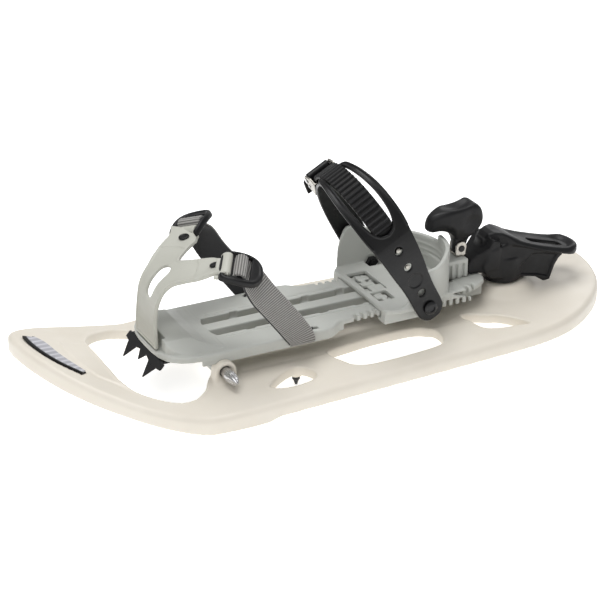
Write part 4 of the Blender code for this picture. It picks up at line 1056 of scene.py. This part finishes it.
def make_left_strap():
    """Up the left leg, then over the loop to just past the top, with a long opening for the ladder."""
    path = [leg_place(s, 1, 2.1 * float(ramp(np.array(s), 10, 44))) for s in LEG_STATIONS]
    angles = list(range(3, 127, 3))
    path += [loop_place(a, LIFT * min(1.0, 0.4 + a / 40.0)) for a in angles]
    warp, arc = band_warp(path, [ACROSS] * len(path), (0, 1, 0))
    at = leg_station(arc)

    def at_angle(a):
        return float(np.interp(a, [0] + angles, arc[len(LEG_STATIONS) - 1:]))

    leg_half = ((-12.6, 0), (-12.2, 5), (-9.4, 9.6), (-4.5, 12.6), (2, 13.4), (18, 13.6), (34, 14.6))
    loop_half = ((3.3, 16.6), (22, 19.2), (34, 21.4), (48, 22.0), (62, 21.4), (76, 19.4), (88, 17.2),
                 (96, 15.8),
                 (99.5, 13.5), (101, 10))
    hole_half = ((29.5, 0), (31, 6), (35, 10.4), (42, 13.2), (54, 14.4), (66, 13.8), (78, 12.4), (88, 11.2),
                 (96, 10.4))
    edge = [(at(s), half) for s, half in leg_half] + [(at_angle(a), half) for a, half in loop_half]
    hole = [(at_angle(a), half) for a, half in hole_half]
    whole = mirrored(smooth_line(edge, 4))
    opening = mirrored(smooth_line(hole, 4))
    studs = {"low": at_angle(4.3), "high": at_angle(17.2)}
    holes = list(studs.values()) + [at(18.6)]
    bridge_at = (at_angle(95.5), at_angle(100))

    def field(u, v, w):
        plan = polygon(whole, u, v)
        slot = polygon(opening, u, v)
        sheet = meet(plan, span(w, -1.4, 1.4), 1.1)
        bead = meet(np.maximum(plan, -plan - 2.0), span(w, 0, 2.1), 0.8)
        lip = meet(np.maximum(-slot, slot - 2.0), span(w, -1.2, 2.1), 0.8)
        bars = ramp(u, at_angle(20), at_angle(34))
        sheet = join(sheet, np.where(bars > 0.5, np.minimum(bead, lip), 9.0), 0.5)
        sheet = cut(sheet, slot, 0.7)
        for spot in holes:
            sheet = cut(sheet, away_from(u, v, (spot, 0)) - 3.9, 0.5)
        recess = tube(u, v, w, (at(34.5), 0), 7.2, 0.5, 5, 0.2)
        sheet = cut(sheet, recess, 0.3)
        sheet = cut(sheet, away_from(u, v, (at(0), 0)) - STRAP_BORE, 0.3)
        bridge = block(u, v, w, (bridge_at[0], -12.5, -3.4), (bridge_at[1], 12.5, -1.6), 0.6)
        feet = block(u, np.abs(v), w, (bridge_at[0], 10.9, -3.4), (bridge_at[1], 14.5, 0.0), 0.6)
        return join(sheet, np.minimum(bridge, feet), 0.5)

    sculpt("cuff_left", (0, -24, -4), (at_angle(102), 24, 3), 0.65, field, "gloss", "ankle_strap",
           ("ankle_strap_left",), warp=warp, keep=0.45)
    for name, spot in studs.items():
        base, tip = warp(np.array([[spot, 0.0, 0.0], [spot, 0.0, 1.0]]))
        profile = [(-1.2, 2.4), (-0.4, 2.4), (0.3, 2.0), (0.7, 0.8)]
        turned("cuff_stud_" + name, "z", (0, 0), profile, "nickel", "ankle_strap", ("ladder_stud",),
               24,
               turn=facing(base, tip - base))


def make_right_strap():
    path = [leg_place(s, -1) for s in LEG_STATIONS] + [loop_place(a) for a in range(177, 100, -3)]
    warp, arc = band_warp(path, [ACROSS] * len(path), (0, -1, 0))
    last = arc[-1]
    at = leg_station(arc)
    leg_half = ((-12.6, 0), (-12.2, 5), (-9.4, 9.6), (-4.5, 12.4), (2, 13.4), (40, 14))
    edge = [(at(s), half) for s, half in leg_half] + [(last - 5, 14), (last - 1.4, 12.5), (last, 8),
                                                      (last, 0)]
    whole = mirrored(smooth_line(edge, 4))

    def field(u, v, w):
        plan = polygon(whole, u, v)
        sheet = meet(plan, span(w, -1.3, 1.3), 1.0)
        bead = meet(np.maximum(plan, -plan - 2.2), span(w, 0, 1.6), 0.6)
        return cut(join(sheet, bead, 0.4), away_from(u, v, (at(0), 0)) - STRAP_BORE, 0.3)

    sculpt("cuff_right", (0, -15, -2), (last + 1, 15, 2.2), 0.7, field, "gloss", "ankle_strap",
           ("ankle_strap_right",), warp=warp, keep=0.45)


def make_ladder():
    angles = list(range(16, 163, 3))
    path = [loop_place(a, LIFT + 1.0 - 5.0 * (1 - float(ramp(np.array(a), 24, 40)))) for a in angles]
    warp, arc = band_warp(path, [ACROSS] * len(path), (0, 1, 0))
    last = arc[-1]
    pitch = 5.0

    def rib_height(u):
        saw = (u % pitch) / pitch
        shape = np.where(saw < 0.62, np.sin(math.pi * saw / 0.62), 0.0)
        fade = ramp(u, 22, 28) * ramp(-u, -last * 0.80, -last * 0.74)
        return 1.9 * shape * fade

    def field(u, v, w):
        side = np.abs(v - 0.8)
        body = meet(side - 10.4, np.maximum(span(w, -1.6, 0.6), span(u, 0, last)), 0.6)
        teeth = meet(side - 10.2, span(w, -0.5, 0.6 + rib_height(u)), 0.5)
        teeth = np.maximum(teeth, span(u, 1, last - 1))
        smooth = block(u, v, w, (last * 0.77, -9.8, -1.0), (last, 9.8, 1.7), 0.6)
        return join(np.minimum(body, smooth), teeth, 0.2)

    # Painted shade: 1 on the band between the teeth, fading to 0 up the teeth's sides.
    def shade(points):
        return np.clip(1.0 - (points[:, 2] - 0.6) / 1.4, 0, 1)

    sculpt("ladder_moulding", (0, -12, -2), (last, 12, 3), 0.5, field, "ladder", "ankle_strap",
           ("ladder_strap",), warp=warp, keep=0.5, paint=shade)


def ratchet_place(along, out, wide):
    """Point in the buckle frame of the ratchet, in local millimetres."""
    a = math.radians(RATCHET_ANGLE)
    base = np.array(loop_place(RATCHET_ANGLE))
    up = np.array((math.sin(LEAN), 0, math.cos(LEAN)))
    tangent = -math.sin(a) * LOOP_HALF * np.array((0, 1, 0)) + math.cos(a) * LOOP_RISE * up
    tangent = tangent / np.linalg.norm(tangent)
    across = np.array(ACROSS)
    normal = np.cross(tangent, across)
    if normal @ (base - np.array(loop_place(90)) + up * 60) < 0:
        normal = -normal
    return base + np.outer(along, tangent) + np.outer(out, normal) + np.outer(wide, across)


def ratchet_warp(points):
    return ratchet_place(points[:, 0], points[:, 1], points[:, 2])


def make_ratchet():
    def frame_field(a, o, w):
        side = np.abs(w)
        base = meet(span(a, -12, 12), np.maximum(span(o, 1.7, 3.0), side - 14.4), 0.4)
        cheek = ((-11.5, 2.0), (11.5, 2.0), (11.5, 10.5), (8, 13.5), (4, 17.6), (0, 18.4), (-4, 17.6),
                 (-8, 13.5), (-11.5, 10))
        wall = slab(cheek, a, o, side, 12.4, 14.3, 0.4)
        pin = np.sqrt(a ** 2 + (o - LEVER_AXIS[1]) ** 2) - 1.9
        return cut(join(base, wall, 0.6), np.maximum(pin, 10 - side), 0.3)

    sculpt("ratchet_cradle", (-13, 1, -15.5), (13, 19.5, 15.5), 0.45, frame_field, "nickel", "ankle_strap",
           ("ratchet_frame",), warp=ratchet_warp, keep=0.5)

    hood = ((-4.2, 16.5), (-3.4, 13.4), (0, 11.0), (3.4, 13.4), (9, 15.6), (14, 15.6), (22, 14.2), (30, 11.4),
            (36.5, 8.6),
            (37.8, 9.6), (36, 11.6), (30, 14.4), (22, 17.2), (14, 19.0), (5, 20.0), (-1.5, 19.4))

    def hood_field(a, o, w):
        side = np.abs(w)
        taper = side - 11.8 + 0.05 * np.clip(a - 20, 0, None) ** 1.5
        body = meet(polygon(smooth_loop(hood, 3), a, o), taper, 1.2)
        cap = ((2, 18.8), (9, 18.6), (12, 17.6), (16, 16.6), (22, 15.2), (28, 13.0), (28, 15.2), (22, 17.4),
               (14, 19.2), (4, 20.2))
        shell = meet(polygon(smooth_loop(cap, 3), a, o), side - 11.5 - 4.0 * ramp(a, 4, 12), 0.9)
        body = join(body, shell, 1.0)
        scoop = ball(a, o, w, (14, 25.0, 0), (13, 7.0, 8))
        body = cut(body, scoop, 1.0)
        return cut(body, np.sqrt(a ** 2 + (o - LEVER_AXIS[1]) ** 2) - 1.9)

    sculpt("ratchet_hood", (-6, 7, -17), (39, 22, 17), 0.5, hood_field, "gloss", "ratchet_lever",
           ("ratchet_lever",), warp=ratchet_warp, keep=0.5)
    pins = (("ratchet_lever_rod", LEVER_AXIS, 1.6, "ratchet_lever_pin"),
            ("ratchet_pawl_rod", PAWL_AXIS, 0.9, "ratchet_pawl_pin"))
    for name, spot, radius, node in pins:
        start = ratchet_place([spot[0]], [spot[1]], [0])[0]
        end = ratchet_place([spot[0]], [spot[1]], [1])[0]
        profile = [(-15.4, radius * 0.5), (-15.2, radius * 1.7), (-14.6, radius * 1.7), (-14.5, radius),
                   (14.5, radius),
                   (14.6, radius * 1.7), (15.2, radius * 1.7), (15.4, radius * 0.5)]
        turned(name, "z", (0, 0), profile, "steel", "ankle_strap", (node,), 24,
               turn=facing(start, end - start))
    pawl = ((-3, 8.1), (2, 8.1), (7, 8.2), (10.6, 9.3), (10.8, 11.6), (9, 12.6), (5, 12.3), (1.5, 10.6),
            (-3, 9.6))

    def pawl_field(a, o, w):
        teeth = 0.5 * np.clip(np.cos(2 * math.pi * a / 4.0), 0, 1)
        body = meet(polygon(pawl, a, o), np.abs(w) - 10.4, 0.5)
        body = np.maximum(body, 8.3 + teeth - o)
        return cut(body, away_from(a, o, PAWL_AXIS) - 1.2)

    sculpt("ratchet_catch", (-4, 7, -11.5), (12, 13.5, 11.5), 0.45, pawl_field, "black", "ratchet_pawl",
           ("ratchet_pawl",), warp=ratchet_warp, keep=0.5)


def make_fixings():
    for name, side in SIDES:
        profile = [(46.0, 1.5), (46.2, 2.8), (61.8, 2.8), (61.9, 6.4), (62.8, 6.3), (63.6, 5.2), (63.9, 3.4),
                   (62.9, 3.2), (62.7, 0.8)]
        turned("pivot_screw_" + name, "y", STRAP_PIVOT, [(side * s, r) for s, r in profile], "darksteel",
               "heel_unit", ("ankle_screw_" + name,), 36)

        def hexagon(station, angle):
            flat = (angle % (math.pi / 3)) - math.pi / 6
            return math.cos(math.pi / 6) / math.cos(flat)

        nut = [(46.9, 3.1), (47.0, 5.6), (47.4, 6.1), (50.2, 6.1), (50.5, 5.6), (50.6, 3.1)]
        turned("pivot_nut_" + name, "y", STRAP_PIVOT, [(side * s, r) for s, r in nut], "darksteel",
               "heel_unit", ("ankle_nut_" + name,), 48, hexagon)


# ---------------------------------------------------------------- heel lift

LIFT_TOP = (
    (-189, 81.5), (-192, 85.5), (-197, 86.8), (-205, 86), (-213, 82.4), (-222, 78), (-240, 71.6),
    (-260, 65.4), (-276, 61), (-293, 58),
)
LIFT_PLAN = (
    (-185, 0), (-186, 5.5), (-190, 8), (-196, 10), (-203, 13.4), (-211, 17.4), (-220, 20), (-236, 21.4),
    (-262, 21.6),
    (-276, 20.6), (-285, 16.4), (-290.5, 9), (-292.4, 0),
)
LIFT_UNDER = (
    (-186, 72), (-196, 74), (-208, 74.6), (-222, 71.5), (-236, 66.4), (-250, 61), (-260, 58), (-270, 54.6),
    (-282, 51), (-296, 51),
)
LIFT_BODY = (
    (-183, 58), (-187, 66), (-190, 72), (-208, 76), (-232, 70), (-250, 64), (-268, 58), (-270, 53),
    (-266, 50), (-262, 44),
    (-259.5, 37.5), (-256.8, 29.6), (-250, 29.2), (-245, 32.6), (-240.5, 35.5), (-232, 37.6), (-222, 40),
    (-200, 42), (-190, 44), (-185, 50),
)


LIFT_PANEL = (
    (-236, 60), (-222, 50), (-224, 42), (-243, 38), (-254, 34), (-259, 48), (-263, 54), (-250, 58),
)


def lift_field(x, y, z):
    """Slab with a dished top and a pole slot, on a hollow body with a cup over the tail boss."""
    side = np.abs(y)
    stations = -np.array([p[0] for p in LIFT_TOP], float)
    top = np.interp(-x, stations, [p[1] for p in LIFT_TOP])
    under = np.interp(-x, -np.array([p[0] for p in LIFT_UNDER], float), [p[1] for p in LIFT_UNDER])
    plan = polygon(both_sides(smooth_line(LIFT_PLAN, 4).tolist()), x, y)
    dish = 4.2 * ramp(-plan, 2.5, 10.5) * ramp(-x, 212, 232)
    shoulder = 0.06 * np.clip(side - 12, 0, None) ** 2
    height = top - dish - shoulder * ramp(-x, 196, 216)
    slab_top = meet(meet(plan, (z - height) * 0.93, 2.2), under - z, 2.0)
    body = meet(polygon(LIFT_BODY, x, z), side - 17.0, 1.8)
    lift = join(body, slab_top, 1.6)
    lift = cut(lift, np.maximum(polygon(LIFT_PANEL, x, z), 15.2 - side), 1.4)
    hollow = np.maximum(polygon(((-224, 20), (-224, 57), (-262, 50), (-262, 20)), x, z), side - 13.0)
    lift = cut(lift, hollow, 1.0)
    cup = tube(x, y, z, TAIL_BOSS, 18.3, 36.0, 60, 1.2)
    lift = join(lift, cup, 2.0)
    hinge = away_from(x, z, TAIL_PIN)
    neck = ((-172, 50.4), (-168.4, 53), (-168.6, 60), (-171.6, 65.0), (-180, 69.6), (-187.5, 75.2),
            (-192, 83), (-200, 80), (-198, 54),
            (-182, 50.2))
    arm = meet(polygon(neck, x, z), side - 12.2 - 5.0 * ramp(-x, 176, 190), 1.4)
    lift = join(lift, arm, 2.5)
    lift = cut(lift, np.maximum(hinge - 7.0, side - 6.8), 0.4)
    lift = cut(lift, np.maximum(span(x, -181, -160), np.maximum(side - 6.8, z - 56)), 0.4)
    lift = cut(lift, np.maximum(hinge - 2.8, side - 11.4), 0.2)
    slot = meet(span(x, -277, -240), side - 4.9, 3.0)
    return cut(lift, np.maximum(slot, 48 - z), 0.8)


def make_heel_lift():
    sculpt("lift_moulding", (-294, -23, 28), (-167, 23, 89), 0.75, lift_field, "black", "heel_lift",
           ("heel_lift",), keep=0.4)
    profile = [(-11.2, 1.0), (-11.0, 2.3), (11.0, 2.3), (11.2, 1.0)]
    turned("lift_pin", "y", TAIL_PIN, profile, "steel", "binding", ("heel_lift_pin",), 28)


make_deck()
make_badge()
make_axle()
make_spikes()
make_plate()
make_crampon()
make_harness()
make_buckles()
make_toe_straps()
make_heel_unit()
make_lock_lever()
make_left_strap()
make_right_strap()
make_ladder()
make_ratchet()
make_fixings()
make_heel_lift()

# ---------------------------------------------------------------- stage

LAMP_TARGET = (0.0, 0.0, 0.04)
FLOOR_HALF = 40.0
# The fitted view: angles in degrees, target in local millimetres and distance in metres.
VIEW_AROUND, VIEW_ABOVE, VIEW_ROLL = 153.45, 25.6, -0.11
VIEW_TARGET, VIEW_DISTANCE = (-0.05, 0.0, 56.06), 1.79765


def area_lamp(name, place, size, power):
    data = bpy.data.lights.new(name, "AREA")
    data.shape = "DISK"
    data.size = size
    data.energy = power
    lamp = bpy.data.objects.new(name, data)
    bpy.context.scene.collection.objects.link(lamp)
    lamp.location = place
    aim = Vector(LAMP_TARGET) - Vector(place)
    lamp.rotation_euler = aim.to_track_quat("-Z", "Y").to_euler()


def make_stage():
    scene = bpy.context.scene
    world = bpy.data.worlds.new("studio")
    world.use_nodes = True
    put(world.node_tree.nodes["Background"], Color=(1.0, 1.0, 1.0, 1.0), Strength=0.36)
    scene.world = world
    area_lamp("lamp_over", (0.1, -0.2, 1.5), 1.1, 15.0)
    area_lamp("lamp_key", (0.9, 0.9, 1.1), 0.8, 6.0)
    area_lamp("lamp_side", (-1.2, -0.9, 0.8), 0.9, 4.0)
    floor = bpy.data.meshes.new("floor_plane")
    corners = [(x * FLOOR_HALF, y * FLOOR_HALF, 0) for x, y in ((-1, -1), (1, -1), (1, 1), (-1, 1))]
    floor.from_pydata(corners, [], [(0, 1, 2, 3)])
    look, _, shader = nodes_of("white_paper")
    put(shader, Base_Color=(0.9, 0.9, 0.9, 1.0), Roughness=0.9, Specular_IOR_Level=0.1)
    put(shader, Emission_Color=(1.0, 1.0, 1.0, 1.0), Emission_Strength=0.62)
    floor.materials.append(look)
    ground = bpy.data.objects.new("floor_plane", floor)
    scene.collection.objects.link(ground)
    scene.view_settings.view_transform = "Standard"


def make_camera():
    data = bpy.data.cameras.new("view_camera")
    data.lens = 120.0
    data.sensor_width = 36.0
    data.clip_end = 100.0
    camera = bpy.data.objects.new("view_camera", data)
    bpy.context.scene.collection.objects.link(camera)
    around, above = math.radians(VIEW_AROUND), math.radians(VIEW_ABOVE)
    back = Vector((math.sin(around) * math.cos(above), -math.cos(around) * math.cos(above), math.sin(above)))
    right = Vector((math.cos(around), math.sin(around), 0.0))
    up = back.cross(right)
    target = (Vector(VIEW_TARGET) + OFFSET) * MM
    turn = Matrix((right, up, back)).transposed().to_4x4()
    roll = Matrix.Rotation(math.radians(VIEW_ROLL), 4, "Z")
    camera.matrix_world = Matrix.Translation(target + back * VIEW_DISTANCE) @ turn @ roll
    bpy.context.scene.camera = camera


make_stage()
make_camera()
